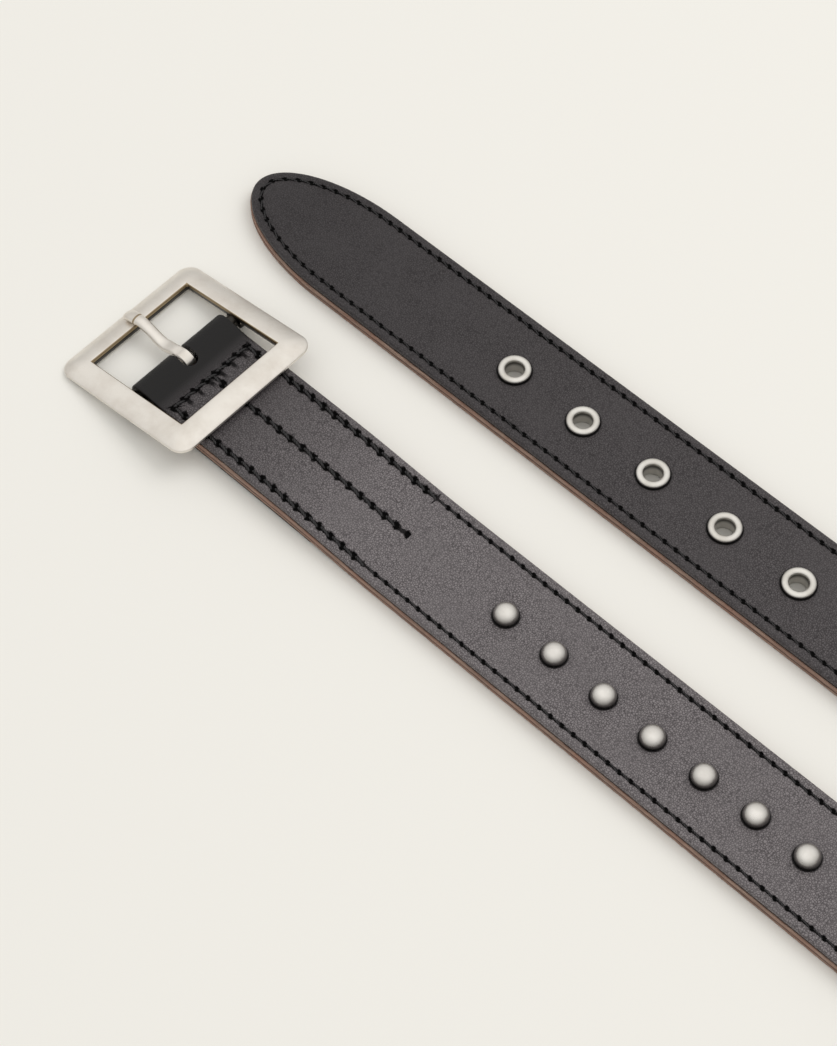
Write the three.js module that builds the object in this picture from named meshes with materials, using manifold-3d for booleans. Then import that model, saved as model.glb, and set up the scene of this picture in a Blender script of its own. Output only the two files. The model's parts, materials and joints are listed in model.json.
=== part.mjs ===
// A studded leather belt with a square prong buckle and a row of eyelets, laid on a table.
// Both ends lie flat, side by side, outer face up. Between them the strap turns onto its edge,
// goes round in one loop and turns flat again. Millimetres, +Z up, the table is z = 0.
// Until the last lines the centre bar's axis crosses x = 0, y = 0, and the strap leaves it along +X.

import * as THREE from "three";
import { mergeVertices } from "three/addons/utils/BufferGeometryUtils.js";
import Module from "manifold-3d";

// Strap
const STRAP_WIDTH = 35;
const OUTER_THICK = 1.6;
const LINING_THICK = 3.0;
const PLY_GAP = 0.3; // glue line between two layers of leather
const OUTER_INSET = 0.4; // the top leather's edge lies this far inside the lining's edge
const EDGE_BEVEL = 0.5; // sloped edge of the top leather
const BAR_TO_MIDDLE_HOLE = 863.6; // the belt's size, 34 inches
const TIP_ROUNDING = 40; // length of the half ellipse at the tip

// How the strap lies
const RUN_SPACING = 60.5; // between the middle lines of the two flat ends
const TIP_PAST_BAR = 30.7; // the tip lies this far beyond the bar
const TWIST_LENGTH = 140; // flat to standing on the edge
const TURN_LENGTH = 155; // the round of the loop
const SWING_LENGTH = 28; // each side of the round, where the loop widens
const EDGE_TURN = Math.PI / 2; // from flat to standing

// Fold round the centre bar
const FOLD_CLEARANCE = 0.3; // between the bar and the leather round it
const TURN_BACK_LENGTH = 66; // from the bar to the end of the leather folded under
const TURN_BACK_THICK = 1.4;
const TURN_BACK_END_THICK = 0.5; // pared thin at its end
const PARED_LENGTH = 21;
const FOLD_SETTLE = 9; // from the bar to where the fold has closed on the lining
const LINING_START = 7.5; // from the bar to the lining's square end
const RISE_BEFORE_END = 16; // the strap starts to come down this far before the turn-back ends
const RISE_AFTER_END = 26; // and reaches the table this far after it

// Eyelets
const EYELET_COUNT = 5;
const EYELET_PITCH = 25.4;
const MIDDLE_HOLE_TO_TIP = 152.3;
const EYELET_BORE = 5.9;
const EYELET_WALL = 0.5;
const EYELET_RIM_DIAMETER = 9.5;
const EYELET_RIM_HEIGHT = 1.0;
const EYELET_BASE_HEIGHT = 0.7; // flat rim, sunk into the lining
const EYELET_SHOULDER = 0.65; // share of the rim's height at which its outside turns in
const EYELET_LIP = 0.55; // share of the rim's height at its bore

// Studs
const STUD_DIAMETER = 7.0;
const STUD_HEIGHT = 3.3;
const STUD_COUNT = 40;
const STUD_POST_DIAMETER = 2.4;
const BAR_TO_FIRST_STUD = 121.8;
const LAST_STUD_TO_EYELET = 28; // plain leather between the row of studs and the eyelets

// Buckle
const WINDOW_LENGTH = 37.4; // along the strap, inside the frame
const WINDOW_SIDE_CLEARANCE = 1.1; // between the strap's edge and a frame in the middle
const FRAME_DRIFT = 0.7; // how far the frame has slid to the strap's left
const FRAME_BAR_WIDTH = 7.3;
const FRAME_HEIGHT = 2.8; // at the inner edge
const FRAME_OUTER_WALL = 0.9; // height of the upright outer face
const FRAME_INNER_BEVEL = 0.5;
const FRAME_CORNER_RADIUS = 4.6; // outer corners
const FRAME_WINDOW_RADIUS = 0.5; // inner corners
const BAR_DIAMETER = 4.0;
const BAR_DROP = 0.3; // the bar's axis lies this far under the frame's underside
const LUG_LENGTH = 5.6; // along the strap
const LUG_WIDTH = 4.2; // across

// Prong
const EYE_WALL = 1.3;
const EYE_CLEARANCE = 0.3;
const PRONG_WIDTH = 3.6;
const PRONG_THICK = 2.2;
const PRONG_DRIFT = 0.3; // how far the tip lies off the middle
const PRONG_REST_GAP = 0.3; // over the frame's free bar
const SLOT_SIDE_CLEARANCE = 0.75;
const SLOT_REACH = 4.8; // past the bar, towards the strap

// Clearance that only keeps two solids apart
const SEAT_GAP = 0.3;

// How finely the forms are divided
const RISE_STEP = 9; // between sections of the strap, by stretch
const TWIST_STEP = 5.5;
const TURN_STEP = 8.5;
const TIP_STEPS = 8;
const FOLD_STEPS = 10;
const SETTLE_STEPS = 4;
const SLOT_END_STEPS = 6;
const EYELET_SIDES = 16;
const STUD_SIDES = 10;
const STUD_HOLE_SIDES = 6;
const CORNER_STEPS = 4;
const BAR_SIDES = 14;
const EYE_SIDES = 20;
const PRONG_RING_POINTS = 10;
const CUT_PAST = 1; // cutters run this far past the faces that they cut

// Worked out from the sizes above
const HALF_WIDTH = STRAP_WIDTH / 2;
const STRAP_THICK = LINING_THICK + PLY_GAP + OUTER_THICK;
const BAR_TO_TIP = BAR_TO_MIDDLE_HOLE + MIDDLE_HOLE_TO_TIP;
const FOLD_INNER_RADIUS = BAR_DIAMETER / 2 + FOLD_CLEARANCE;
const FOLD_OUTER_RADIUS = FOLD_INNER_RADIUS + OUTER_THICK;
const BAR_HEIGHT = FOLD_OUTER_RADIUS; // the fold lies on the table
const STACK_RISE = TURN_BACK_THICK + PLY_GAP; // the strap's lift over the turned-back leather
const EYE_BORE = BAR_DIAMETER + 2 * EYE_CLEARANCE;
const EYE_DIAMETER = EYE_BORE + 2 * EYE_WALL;
const SLOT_WIDTH = PRONG_WIDTH + 2 * SLOT_SIDE_CLEARANCE;
const WINDOW_WIDTH = STRAP_WIDTH + 2 * WINDOW_SIDE_CLEARANCE;
const FRAME_LENGTH = WINDOW_LENGTH + 2 * FRAME_BAR_WIDTH;
const FRAME_WIDTH = WINDOW_WIDTH + 2 * FRAME_BAR_WIDTH;
const EYELET_TUBE_RADIUS = EYELET_BORE / 2 + EYELET_WALL;
const BAR_TO_MIDDLE_EYELET = BAR_TO_TIP - MIDDLE_HOLE_TO_TIP;

const wasm = await Module();
wasm.setup();

const WELD = 1e-4; // vertices nearer than this are one

// Solids

function solidFrom(geometry) {
  const bare = new THREE.BufferGeometry();
  bare.setAttribute("position", geometry.getAttribute("position"));
  if (geometry.index) bare.setIndex(geometry.index);
  const merged = mergeVertices(bare, WELD);
  const mesh = new wasm.Mesh({
    numProp: 3,
    vertProperties: merged.getAttribute("position").array,
    triVerts: new Uint32Array(merged.index.array),
  });
  return new wasm.Manifold(mesh);
}

function geometryFrom(solid) {
  const mesh = solid.getMesh();
  const geometry = new THREE.BufferGeometry();
  geometry.setAttribute("position", new THREE.BufferAttribute(mesh.vertProperties, 3));
  geometry.setIndex(new THREE.BufferAttribute(mesh.triVerts, 1));
  geometry.computeVertexNormals();
  return geometry;
}

function cut(geometry, tools) {
  let solid = solidFrom(geometry);
  for (const tool of tools) solid = solid.subtract(solidFrom(tool));
  return geometryFrom(solid);
}

function join(geometries) {
  let solid = solidFrom(geometries[0]);
  for (const other of geometries.slice(1)) solid = solid.add(solidFrom(other));
  return geometryFrom(solid);
}

// Volume with its sign: below zero when the faces point inwards.
function signedVolume(points, faces) {
  let six = 0;
  for (const [a, b, c] of faces) {
    six += points[a].dot(new THREE.Vector3().crossVectors(points[b], points[c]));
  }
  return six / 6;
}

// A closed skin through rings of points. Each ring has as many points as the next, and `sides`
// may give each point's place across the strap, so that both faces of a layer split their
// four-sided patches the same way.
function loft(rings, { sides = null, loop = false } = {}) {
  const count = rings[0].length;
  const points = rings.flat();
  const faces = [];
  const last = loop ? rings.length : rings.length - 1;
  for (let i = 0; i < last; i++) {
    const here = i * count;
    const next = ((i + 1) % rings.length) * count;
    for (let j = 0; j < count; j++) {
      const k = (j + 1) % count;
      const flip = sides !== null && sides[j] < sides[k];
      if (flip) faces.push([here + j, here + k, next + j], [here + k, next + k, next + j]);
      else faces.push([here + j, here + k, next + k], [here + j, next + k, next + j]);
    }
  }
  if (!loop) {
    for (const [start, turned] of [[0, false], [points.length - count, true]]) {
      const middle = new THREE.Vector3();
      for (let j = 0; j < count; j++) middle.addScaledVector(points[start + j], 1 / count);
      const hub = points.length;
      points.push(middle);
      for (let j = 0; j < count; j++) {
        const k = (j + 1) % count;
        faces.push(turned ? [hub, start + j, start + k] : [hub, start + k, start + j]);
      }
    }
  }
  if (signedVolume(points, faces) < 0) for (const face of faces) face.reverse();
  const geometry = new THREE.BufferGeometry();
  geometry.setFromPoints(points);
  geometry.setIndex(faces.flat());
  geometry.computeVertexNormals();
  return geometry;
}

function eased(share) {
  const t = Math.min(1, Math.max(0, share));
  return t * t * (3 - 2 * t);
}

// The way the strap takes

const WALK_STEP = 1;
const WIDEST_BULGE = 1.3;
const HALVINGS = 40;
const LOOK_AROUND = 0.5; // each side of a place, to find the strap's direction there

// Each row is a stretch of the strap's middle line, with its length and its turn to the left.
function routeRows(bulge) {
  const loop = TURN_LENGTH + 2 * SWING_LENGTH;
  const buckleRun = (BAR_TO_TIP - loop - TIP_PAST_BAR) / 2;
  return [
    { stretch: "buckle run", length: buckleRun, turn: 0 },
    { stretch: "swing out", length: SWING_LENGTH, turn: -bulge },
    { stretch: "round", length: TURN_LENGTH, turn: Math.PI + 2 * bulge },
    { stretch: "swing in", length: SWING_LENGTH, turn: -bulge },
    { stretch: "tip run", length: buckleRun + TIP_PAST_BAR, turn: 0 },
  ];
}

// Points along the middle line, seen from above.
function walk(rows) {
  const trail = [{ along: 0, x: 0, y: 0, heading: 0 }];
  for (const { length, turn } of rows) {
    const start = trail.at(-1);
    const steps = turn === 0 ? 1 : Math.ceil(length / WALK_STEP);
    for (let i = 1; i <= steps; i++) {
      const before = trail.at(-1);
      const midway = start.heading + turn * eased((i - 0.5) / steps);
      trail.push({
        along: before.along + length / steps,
        x: before.x + (length / steps) * Math.cos(midway),
        y: before.y + (length / steps) * Math.sin(midway),
        heading: start.heading + turn * eased(i / steps),
      });
    }
  }
  return trail;
}

// The loop widens by the angle that brings the two flat ends to their spacing.
function bulgeForSpacing() {
  let low = 0;
  let high = WIDEST_BULGE;
  for (let i = 0; i < HALVINGS; i++) {
    const middle = (low + high) / 2;
    if (walk(routeRows(middle)).at(-1).y > RUN_SPACING) low = middle;
    else high = middle;
  }
  return low;
}

const ROUTE_ROWS = routeRows(bulgeForSpacing());
const ROUTE = walk(ROUTE_ROWS);
const LOOP_START = ROUTE_ROWS[0].length;
const LOOP_END = BAR_TO_TIP - ROUTE_ROWS.at(-1).length;
const RISE_START = TURN_BACK_LENGTH - RISE_BEFORE_END;
const RISE_END = TURN_BACK_LENGTH + RISE_AFTER_END;

function placeAt(along) {
  const next = ROUTE.find((spot, i) => i > 0 && spot.along >= along) ?? ROUTE.at(-1);
  const before = ROUTE[ROUTE.indexOf(next) - 1];
  const share = (along - before.along) / (next.along - before.along);
  const between = (key) => before[key] + share * (next[key] - before[key]);
  return { x: between("x"), y: between("y"), heading: between("heading") };
}

function twistAt(along) {
  const up = eased((along - LOOP_START + TWIST_LENGTH) / TWIST_LENGTH);
  const down = eased((along - LOOP_END) / TWIST_LENGTH);
  return EDGE_TURN * (up - down);
}

function riseAt(along) {
  return STACK_RISE * (1 - eased((along - RISE_START) / (RISE_END - RISE_START)));
}

// The middle of the strap's section. Its lower edge stays on the table through each twist.
function middleAt(along) {
  const { x, y } = placeAt(along);
  const twist = twistAt(along);
  const half = HALF_WIDTH * Math.sin(twist) + (STRAP_THICK / 2) * Math.cos(twist);
  return new THREE.Vector3(x, y, riseAt(along) + half);
}

// The strap's own axes at a distance from the bar, with the middle of its underside as origin.
function strapFrame(along) {
  const behind = middleAt(along - LOOK_AROUND);
  const forward = middleAt(along + LOOK_AROUND).sub(behind).normalize();
  const left = new THREE.Vector3(0, 0, 1).cross(forward).normalize();
  const up = forward.clone().cross(left);
  const twist = twistAt(along);
  const across = left.clone().multiplyScalar(Math.cos(twist)).addScaledVector(up, Math.sin(twist));
  const outward = up.clone().multiplyScalar(Math.cos(twist)).addScaledVector(left, -Math.sin(twist));
  const origin = middleAt(along).addScaledVector(outward, -STRAP_THICK / 2);
  return { origin, forward, across, outward };
}

// Where a small piece or a cutter sits on the strap: its Z is the strap's outward direction.
function seat(along, aside, height) {
  const { origin, forward, across, outward } = strapFrame(along);
  const spot = origin.clone().addScaledVector(across, aside).addScaledVector(outward, height);
  return new THREE.Matrix4().makeBasis(forward, across, outward).setPosition(spot);
}

// Layers of leather

const TIP_LAST_ANGLE = Math.PI / 20;
const SAME_PLACE = 0.01;

const CURVED_STRETCHES = [
  { stretch: "coming down", start: RISE_START, end: RISE_END, step: RISE_STEP },
  { stretch: "twist up", start: LOOP_START - TWIST_LENGTH, end: LOOP_START, step: TWIST_STEP },
  { stretch: "loop", start: LOOP_START, end: LOOP_END, step: TURN_STEP },
  { stretch: "twist down", start: LOOP_END, end: LOOP_END + TWIST_LENGTH, step: TWIST_STEP },
];

// Distances from the bar at which a layer has a section, with its half width there.
function sections(from, inset) {
  const end = BAR_TO_TIP - inset;
  const half = HALF_WIDTH - inset;
  const rounding = TIP_ROUNDING - inset;
  const places = [from, end - rounding];
  for (const { start, end: stop, step } of CURVED_STRETCHES) {
    const steps = Math.ceil((stop - start) / step);
    for (let i = 0; i <= steps; i++) places.push(start + ((stop - start) * i) / steps);
  }
  const kept = places
    .filter((place) => place >= from && place <= end - rounding)
    .sort((a, b) => a - b)
    .filter((place, i, all) => i === 0 || place - all[i - 1] > SAME_PLACE)
    .map((along) => ({ along, half }));
  for (let i = 1; i <= TIP_STEPS; i++) {
    const angle = Math.PI / 2 + (TIP_LAST_ANGLE - Math.PI / 2) * (i / TIP_STEPS);
    kept.push({ along: end - rounding * (1 - Math.cos(angle)), half: half * Math.sin(angle) });
  }
  kept.push({ along: end, half: (half * Math.sin(TIP_LAST_ANGLE)) / 2 });
  return kept;
}

// One section of the top leather, between its inner face (low) and outer face (high).
function outerRing({ origin, across, outward }, half, low, high) {
  const bevel = Math.min(EDGE_BEVEL, (high - low) / 2, half / 2);
  const corners = [
    [-half, high - bevel],
    [-half + bevel, high],
    [0, high],
    [half - bevel, high],
    [half, high - bevel],
    [half, low],
    [0, low],
    [-half, low],
  ];
  return corners.map(([u, n]) =>
    origin.clone().addScaledVector(across, u).addScaledVector(outward, n),
  );
}

const OUTER_SIDES = [-2, -1, 0, 1, 2, 2, 0, -2];

function liningRing({ origin, across, outward }, half) {
  const corners = [
    [-half, LINING_THICK],
    [0, LINING_THICK],
    [half, LINING_THICK],
    [half, 0],
    [0, 0],
    [-half, 0],
  ];
  return corners.map(([u, n]) =>
    origin.clone().addScaledVector(across, u).addScaledVector(outward, n),
  );
}

const LINING_SIDES = [-1, 0, 1, 1, 0, -1];

// The part of the top leather that is folded under: thin end first, its outer face on the table.
function turnBackRings(half) {
  const pared = TURN_BACK_LENGTH - PARED_LENGTH;
  const rows = [
    { along: TURN_BACK_LENGTH, thick: TURN_BACK_END_THICK },
    { along: pared, thick: TURN_BACK_THICK },
    { along: FOLD_SETTLE, thick: TURN_BACK_THICK },
  ];
  return rows.map(({ along, thick }) => {
    const frame = {
      origin: new THREE.Vector3(along, 0, thick),
      across: new THREE.Vector3(0, 1, 0),
      outward: new THREE.Vector3(0, 0, -1),
    };
    return outerRing(frame, half, 0, thick);
  });
}

// Half way round the centre bar, from below it to above it.
function foldRings(half) {
  const rings = [];
  for (let i = 0; i <= FOLD_STEPS; i++) {
    const lift = Math.PI * (i / FOLD_STEPS - 0.5);
    const frame = {
      origin: new THREE.Vector3(0, 0, BAR_HEIGHT),
      across: new THREE.Vector3(0, 1, 0),
      outward: new THREE.Vector3(-Math.cos(lift), 0, Math.sin(lift)),
    };
    rings.push(outerRing(frame, half, FOLD_INNER_RADIUS, FOLD_OUTER_RADIUS));
  }
  return rings;
}

// From the top of the fold down on to the lining.
function settleRings(half) {
  const seatHeight = LINING_THICK + PLY_GAP;
  const drop = BAR_HEIGHT + FOLD_INNER_RADIUS - STACK_RISE - seatHeight;
  const rings = [];
  for (let i = 1; i <= SETTLE_STEPS; i++) {
    const share = i / SETTLE_STEPS;
    const low = seatHeight + drop * (1 - eased(share));
    rings.push(outerRing(strapFrame(share * FOLD_SETTLE), half, low, low + OUTER_THICK));
  }
  return rings;
}

function cylinder(radius, height, sides) {
  return new THREE.CylinderGeometry(radius, radius, height, sides).rotateX(Math.PI / 2);
}

// A round cutter through the strap from one height over its underside to another.
function drill(along, aside, radius, from, to, sides) {
  const tool = cylinder(radius, to - from, sides);
  return tool.applyMatrix4(seat(along, aside, (from + to) / 2));
}

function slotCutter() {
  const far = -FOLD_OUTER_RADIUS - CUT_PAST;
  const round = SLOT_WIDTH / 2;
  const outline = new THREE.Shape();
  outline.moveTo(far, -round);
  outline.lineTo(SLOT_REACH - round, -round);
  outline.absarc(SLOT_REACH - round, 0, round, -Math.PI / 2, Math.PI / 2, false);
  outline.lineTo(far, round);
  outline.closePath();
  const depth = BAR_HEIGHT + FOLD_OUTER_RADIUS + 2 * CUT_PAST;
  const options = { depth, bevelEnabled: false, curveSegments: SLOT_END_STEPS };
  return new THREE.ExtrudeGeometry(outline, options).translate(0, 0, -CUT_PAST);
}

function strapOuterGeometry() {
  const half = HALF_WIDTH - OUTER_INSET;
  const low = LINING_THICK + PLY_GAP;
  const rings = [...turnBackRings(half), ...foldRings(half), ...settleRings(half)];
  for (const { along, half: halfHere } of sections(FOLD_SETTLE, OUTER_INSET).slice(1)) {
    rings.push(outerRing(strapFrame(along), halfHere, low, low + OUTER_THICK));
  }
  const tools = [slotCutter()];
  for (const { along } of eyeletPlaces()) {
    const radius = EYELET_TUBE_RADIUS + SEAT_GAP;
    tools.push(drill(along, 0, radius, low - CUT_PAST, STRAP_THICK + CUT_PAST, EYELET_SIDES));
  }
  for (const { along, aside } of studPlaces()) {
    const radius = (STUD_POST_DIAMETER / 2 + SEAT_GAP) / Math.cos(Math.PI / STUD_HOLE_SIDES);
    const top = STRAP_THICK + CUT_PAST;
    tools.push(drill(along, aside, radius, low - PLY_GAP, top, STUD_HOLE_SIDES));
  }
  return cut(loft(rings, { sides: OUTER_SIDES }), tools);
}

function strapLiningGeometry() {
  const rings = sections(LINING_START, 0).map(({ along, half }) =>
    liningRing(strapFrame(along), half),
  );
  const tools = [];
  for (const { along } of eyeletPlaces()) {
    const bore = EYELET_TUBE_RADIUS + SEAT_GAP;
    const sink = EYELET_RIM_DIAMETER / 2 + SEAT_GAP;
    const sinkTop = EYELET_BASE_HEIGHT + SEAT_GAP; // the rim below lies sunk in the lining
    tools.push(drill(along, 0, bore, -CUT_PAST, LINING_THICK + CUT_PAST, EYELET_SIDES));
    tools.push(drill(along, 0, sink, -CUT_PAST, sinkTop, EYELET_SIDES));
  }
  return cut(loft(rings, { sides: LINING_SIDES }), tools);
}

// Eyelets

// The first is the nearest to the tip.
function eyeletPlaces() {
  const places = [];
  for (let i = 0; i < EYELET_COUNT; i++) {
    const fromMiddle = (EYELET_COUNT - 1) / 2 - i;
    places.push({ along: BAR_TO_MIDDLE_EYELET + fromMiddle * EYELET_PITCH });
  }
  return places;
}

function eyeletGeometry() {
  const bore = EYELET_BORE / 2;
  const rim = EYELET_RIM_DIAMETER / 2;
  const tube = EYELET_TUBE_RADIUS;
  const seatTop = STRAP_THICK + SEAT_GAP;
  const profile = [
    [bore, 0],
    [rim, 0],
    [rim, EYELET_BASE_HEIGHT],
    [tube, EYELET_BASE_HEIGHT],
    [tube, seatTop],
    [rim, seatTop],
    [rim - EYELET_WALL / 2, seatTop + EYELET_SHOULDER * EYELET_RIM_HEIGHT],
    [tube + EYELET_WALL / 2, seatTop + EYELET_RIM_HEIGHT],
    [bore, seatTop + EYELET_LIP * EYELET_RIM_HEIGHT],
    [bore, 0],
  ].map(([radius, height]) => new THREE.Vector2(radius, height));
  return new THREE.LatheGeometry(profile, EYELET_SIDES).rotateX(Math.PI / 2);
}

// Studs

// The row wanders a little about its even places, as the real one does; the pattern repeats.
const STUD_DRIFT = [
  { along: 0, aside: 0 },
  { along: 0.2, aside: -0.2 },
  { along: 0.7, aside: -0.7 },
  { along: 0.7, aside: -1.2 },
  { along: 0.4, aside: -0.7 },
  { along: -0.1, aside: -0.1 },
  { along: -0.5, aside: -0.2 },
];

function studPlaces() {
  const nearestEyelet = Math.min(...eyeletPlaces().map((place) => place.along));
  const pitch = (nearestEyelet - LAST_STUD_TO_EYELET - BAR_TO_FIRST_STUD) / (STUD_COUNT - 1);
  const places = [];
  for (let i = 0; i < STUD_COUNT; i++) {
    const drift = STUD_DRIFT[i % STUD_DRIFT.length];
    places.push({ along: BAR_TO_FIRST_STUD + i * pitch + drift.along, aside: drift.aside });
  }
  return places;
}

// The dome from its top to its foot, in shares of its radius and height.
const DOME_ROWS = [
  { out: 0, up: 1 },
  { out: 0.56, up: 0.86 },
  { out: 0.92, up: 0.5 },
  { out: 1, up: 0 },
];

// Dome on the outer face and post down through the top leather; its origin is the dome's base.
function studGeometry() {
  const radius = STUD_DIAMETER / 2;
  const post = STUD_POST_DIAMETER / 2;
  const profile = [
    ...DOME_ROWS.map(({ out, up }) => [out * radius, up * STUD_HEIGHT]),
    [post, 0],
    [post, -SEAT_GAP - OUTER_THICK],
    [0, -SEAT_GAP - OUTER_THICK],
  ].map(([r, height]) => new THREE.Vector2(r, height));
  return new THREE.LatheGeometry(profile.reverse(), STUD_SIDES).rotateX(Math.PI / 2);
}

// Buckle frame. Its origin is on the centre bar's axis, X towards the strap, Z out of its face.

// A closed rounded rectangle as points, the same number at each corner.
function roundedOutline(length, width, radius, cornerSteps) {
  const points = [];
  for (let corner = 0; corner < 4; corner++) {
    const signX = corner === 0 || corner === 3 ? 1 : -1;
    const signY = corner < 2 ? 1 : -1;
    for (let i = 0; i <= cornerSteps; i++) {
      const angle = (Math.PI / 2) * (corner + i / cornerSteps);
      points.push({
        x: signX * (length / 2 - radius) + radius * Math.cos(angle),
        y: signY * (width / 2 - radius) + radius * Math.sin(angle),
      });
    }
  }
  return points;
}

const CROWN_SHARES = [0, 0.3, 0.55, 0.8, 1]; // where the sloping top has its points

// The bar's section as [distance out from the window, height over the underside].
function frameSection() {
  const slope = FRAME_BAR_WIDTH - FRAME_INNER_BEVEL;
  const crown = FRAME_HEIGHT - FRAME_OUTER_WALL;
  const section = [
    [0, 0],
    [0, FRAME_HEIGHT - FRAME_INNER_BEVEL],
  ];
  for (const share of CROWN_SHARES) {
    section.push([
      FRAME_INNER_BEVEL + slope * share,
      FRAME_OUTER_WALL + crown * (1 - share ** 2),
    ]);
  }
  section.push([FRAME_BAR_WIDTH, 0]);
  return section;
}

function frameRimGeometry() {
  const window = roundedOutline(WINDOW_LENGTH, WINDOW_WIDTH, FRAME_WINDOW_RADIUS, CORNER_STEPS);
  const outside = roundedOutline(FRAME_LENGTH, FRAME_WIDTH, FRAME_CORNER_RADIUS, CORNER_STEPS);
  const rings = window.map((near, i) =>
    frameSection().map(([out, up]) => {
      const share = out / FRAME_BAR_WIDTH;
      const x = near.x + share * (outside[i].x - near.x);
      const y = near.y + share * (outside[i].y - near.y);
      return new THREE.Vector3(x, y, BAR_DROP + up);
    }),
  );
  return loft(rings, { loop: true });
}

// The ear under a side of the frame that carries one end of the centre bar.
function lugGeometry(side) {
  const low = -BAR_DIAMETER / 2;
  const high = BAR_DROP + FRAME_OUTER_WALL;
  const lug = new THREE.BoxGeometry(LUG_LENGTH, LUG_WIDTH, high - low);
  return lug.translate(0, side * (WINDOW_WIDTH / 2 + LUG_WIDTH / 2), (low + high) / 2);
}

function buckleFrameGeometry() {
  const radius = BAR_DIAMETER / 2;
  const bar = new THREE.CylinderGeometry(radius, radius, WINDOW_WIDTH + LUG_WIDTH, BAR_SIDES);
  return join([frameRimGeometry(), lugGeometry(-1), lugGeometry(1), bar]);
}

// Prong

const SQUAREST = 0.35; // power that makes a section nearly square; 1 makes it an ellipse

// From the eye to the tip. `window` and `bar` place a section: shares of half the window's length
// and of the free bar's width. `under` is its underside's height, a share of the height that
// clears the frame. `thick`, `wide` and `aside` are shares of the prong's own sizes, and `round`
// goes from 0, nearly square, to 1, an ellipse.
const PRONG_ROWS = [
  { window: 0.0, bar: 0.0, under: 0.42, thick: 1.0, wide: 1.0, aside: 0.0, round: 0.4 },
  { window: 0.18, bar: 0.0, under: 0.36, thick: 1.0, wide: 1.0, aside: 0.0, round: 0.4 },
  { window: 0.36, bar: 0.0, under: 0.14, thick: 1.0, wide: 1.06, aside: 0.2, round: 0.5 },
  { window: 0.52, bar: 0.0, under: 0.16, thick: 1.14, wide: 1.0, aside: 0.4, round: 0.8 },
  { window: 0.74, bar: 0.0, under: 0.72, thick: 1.2, wide: 0.98, aside: 0.7, round: 1.0 },
  { window: 0.92, bar: 0.0, under: 1.0, thick: 1.18, wide: 1.0, aside: 0.9, round: 1.0 },
  { window: 1.0, bar: 0.22, under: 1.0, thick: 1.05, wide: 1.08, aside: 1.0, round: 0.9 },
  { window: 1.0, bar: 0.5, under: 0.88, thick: 0.9, wide: 1.12, aside: 1.0, round: 0.8 },
  { window: 1.0, bar: 0.74, under: 0.72, thick: 0.7, wide: 0.95, aside: 1.0, round: 0.8 },
];

function prongRings() {
  const clear = BAR_DROP + FRAME_HEIGHT + PRONG_REST_GAP;
  const spots = PRONG_ROWS.map((row) => ({
    x: -(row.window * (WINDOW_LENGTH / 2) + row.bar * FRAME_BAR_WIDTH),
    z: row.under * clear + (row.thick * PRONG_THICK) / 2,
  }));
  return PRONG_ROWS.map((row, i) => {
    const before = spots[Math.max(0, i - 1)];
    const after = spots[Math.min(spots.length - 1, i + 1)];
    const slope = Math.atan2(after.z - before.z, before.x - after.x);
    const ring = [];
    for (let j = 0; j < PRONG_RING_POINTS; j++) {
      const angle = (2 * Math.PI * (j + 0.5)) / PRONG_RING_POINTS;
      const power = SQUAREST + (1 - SQUAREST) * row.round;
      const shape = (value) => Math.sign(value) * Math.abs(value) ** power;
      const up = (shape(Math.sin(angle)) * row.thick * PRONG_THICK) / 2;
      const side = (shape(Math.cos(angle)) * row.wide * PRONG_WIDTH) / 2;
      ring.push(
        new THREE.Vector3(
          spots[i].x + up * Math.sin(slope),
          row.aside * PRONG_DRIFT + side,
          spots[i].z + up * Math.cos(slope),
        ),
      );
    }
    return ring;
  });
}

function prongGeometry() {
  const eye = new THREE.CylinderGeometry(
    EYE_DIAMETER / 2,
    EYE_DIAMETER / 2,
    PRONG_WIDTH,
    EYE_SIDES,
  );
  const boreLength = PRONG_WIDTH + 2 * CUT_PAST;
  const bore = new THREE.CylinderGeometry(EYE_BORE / 2, EYE_BORE / 2, boreLength, EYE_SIDES);
  return cut(join([eye, loft(prongRings())]), [bore]);
}

// The tilt at which the free end bar rests on the table while the centre bar is in the fold.
function frameTilt() {
  const reach = FRAME_LENGTH / 2;
  return Math.atan2(BAR_DROP, reach) + Math.asin(BAR_HEIGHT / Math.hypot(reach, BAR_DROP));
}

// Assembly

const MATERIALS = {
  black_leather: { color: 0x2b2729, roughness: 0.55, metalness: 0 },
  brown_leather: { color: 0x6e5347, roughness: 0.85, metalness: 0 },
  satin_nickel: { color: 0xc9c3b8, roughness: 0.35, metalness: 1 },
  bright_nickel: { color: 0xcfcdca, roughness: 0.22, metalness: 1 },
  pewter: { color: 0xa59e97, roughness: 0.45, metalness: 1 },
};

function piece(name, geometry, material) {
  const mesh = new THREE.Mesh(geometry, new THREE.MeshStandardMaterial(MATERIALS[material]));
  mesh.name = name;
  return mesh;
}

function buckle() {
  const group = new THREE.Group();
  group.position.set(0, 0, BAR_HEIGHT);
  group.rotation.y = -frameTilt();
  const frame = buckleFrameGeometry().translate(0, FRAME_DRIFT, 0);
  group.add(piece("buckle_frame", frame, "satin_nickel"));
  group.add(piece("prong", prongGeometry(), "satin_nickel"));
  return group;
}

function strap() {
  const group = new THREE.Group();
  group.add(piece("strap_outer", strapOuterGeometry(), "black_leather"));
  group.add(piece("strap_lining", strapLiningGeometry(), "brown_leather"));
  const rim = eyeletGeometry();
  eyeletPlaces().forEach(({ along }, i) => {
    const eyelet = piece(`eyelet_${i + 1}`, rim, "bright_nickel");
    eyelet.applyMatrix4(seat(along, 0, 0));
    group.add(eyelet);
  });
  const dome = studGeometry();
  studPlaces().forEach(({ along, aside }, i) => {
    const stud = piece(`stud_${String(i + 1).padStart(2, "0")}`, dome, "pewter");
    stud.applyMatrix4(seat(along, aside, STRAP_THICK + SEAT_GAP));
    group.add(stud);
  });
  return group;
}

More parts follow.
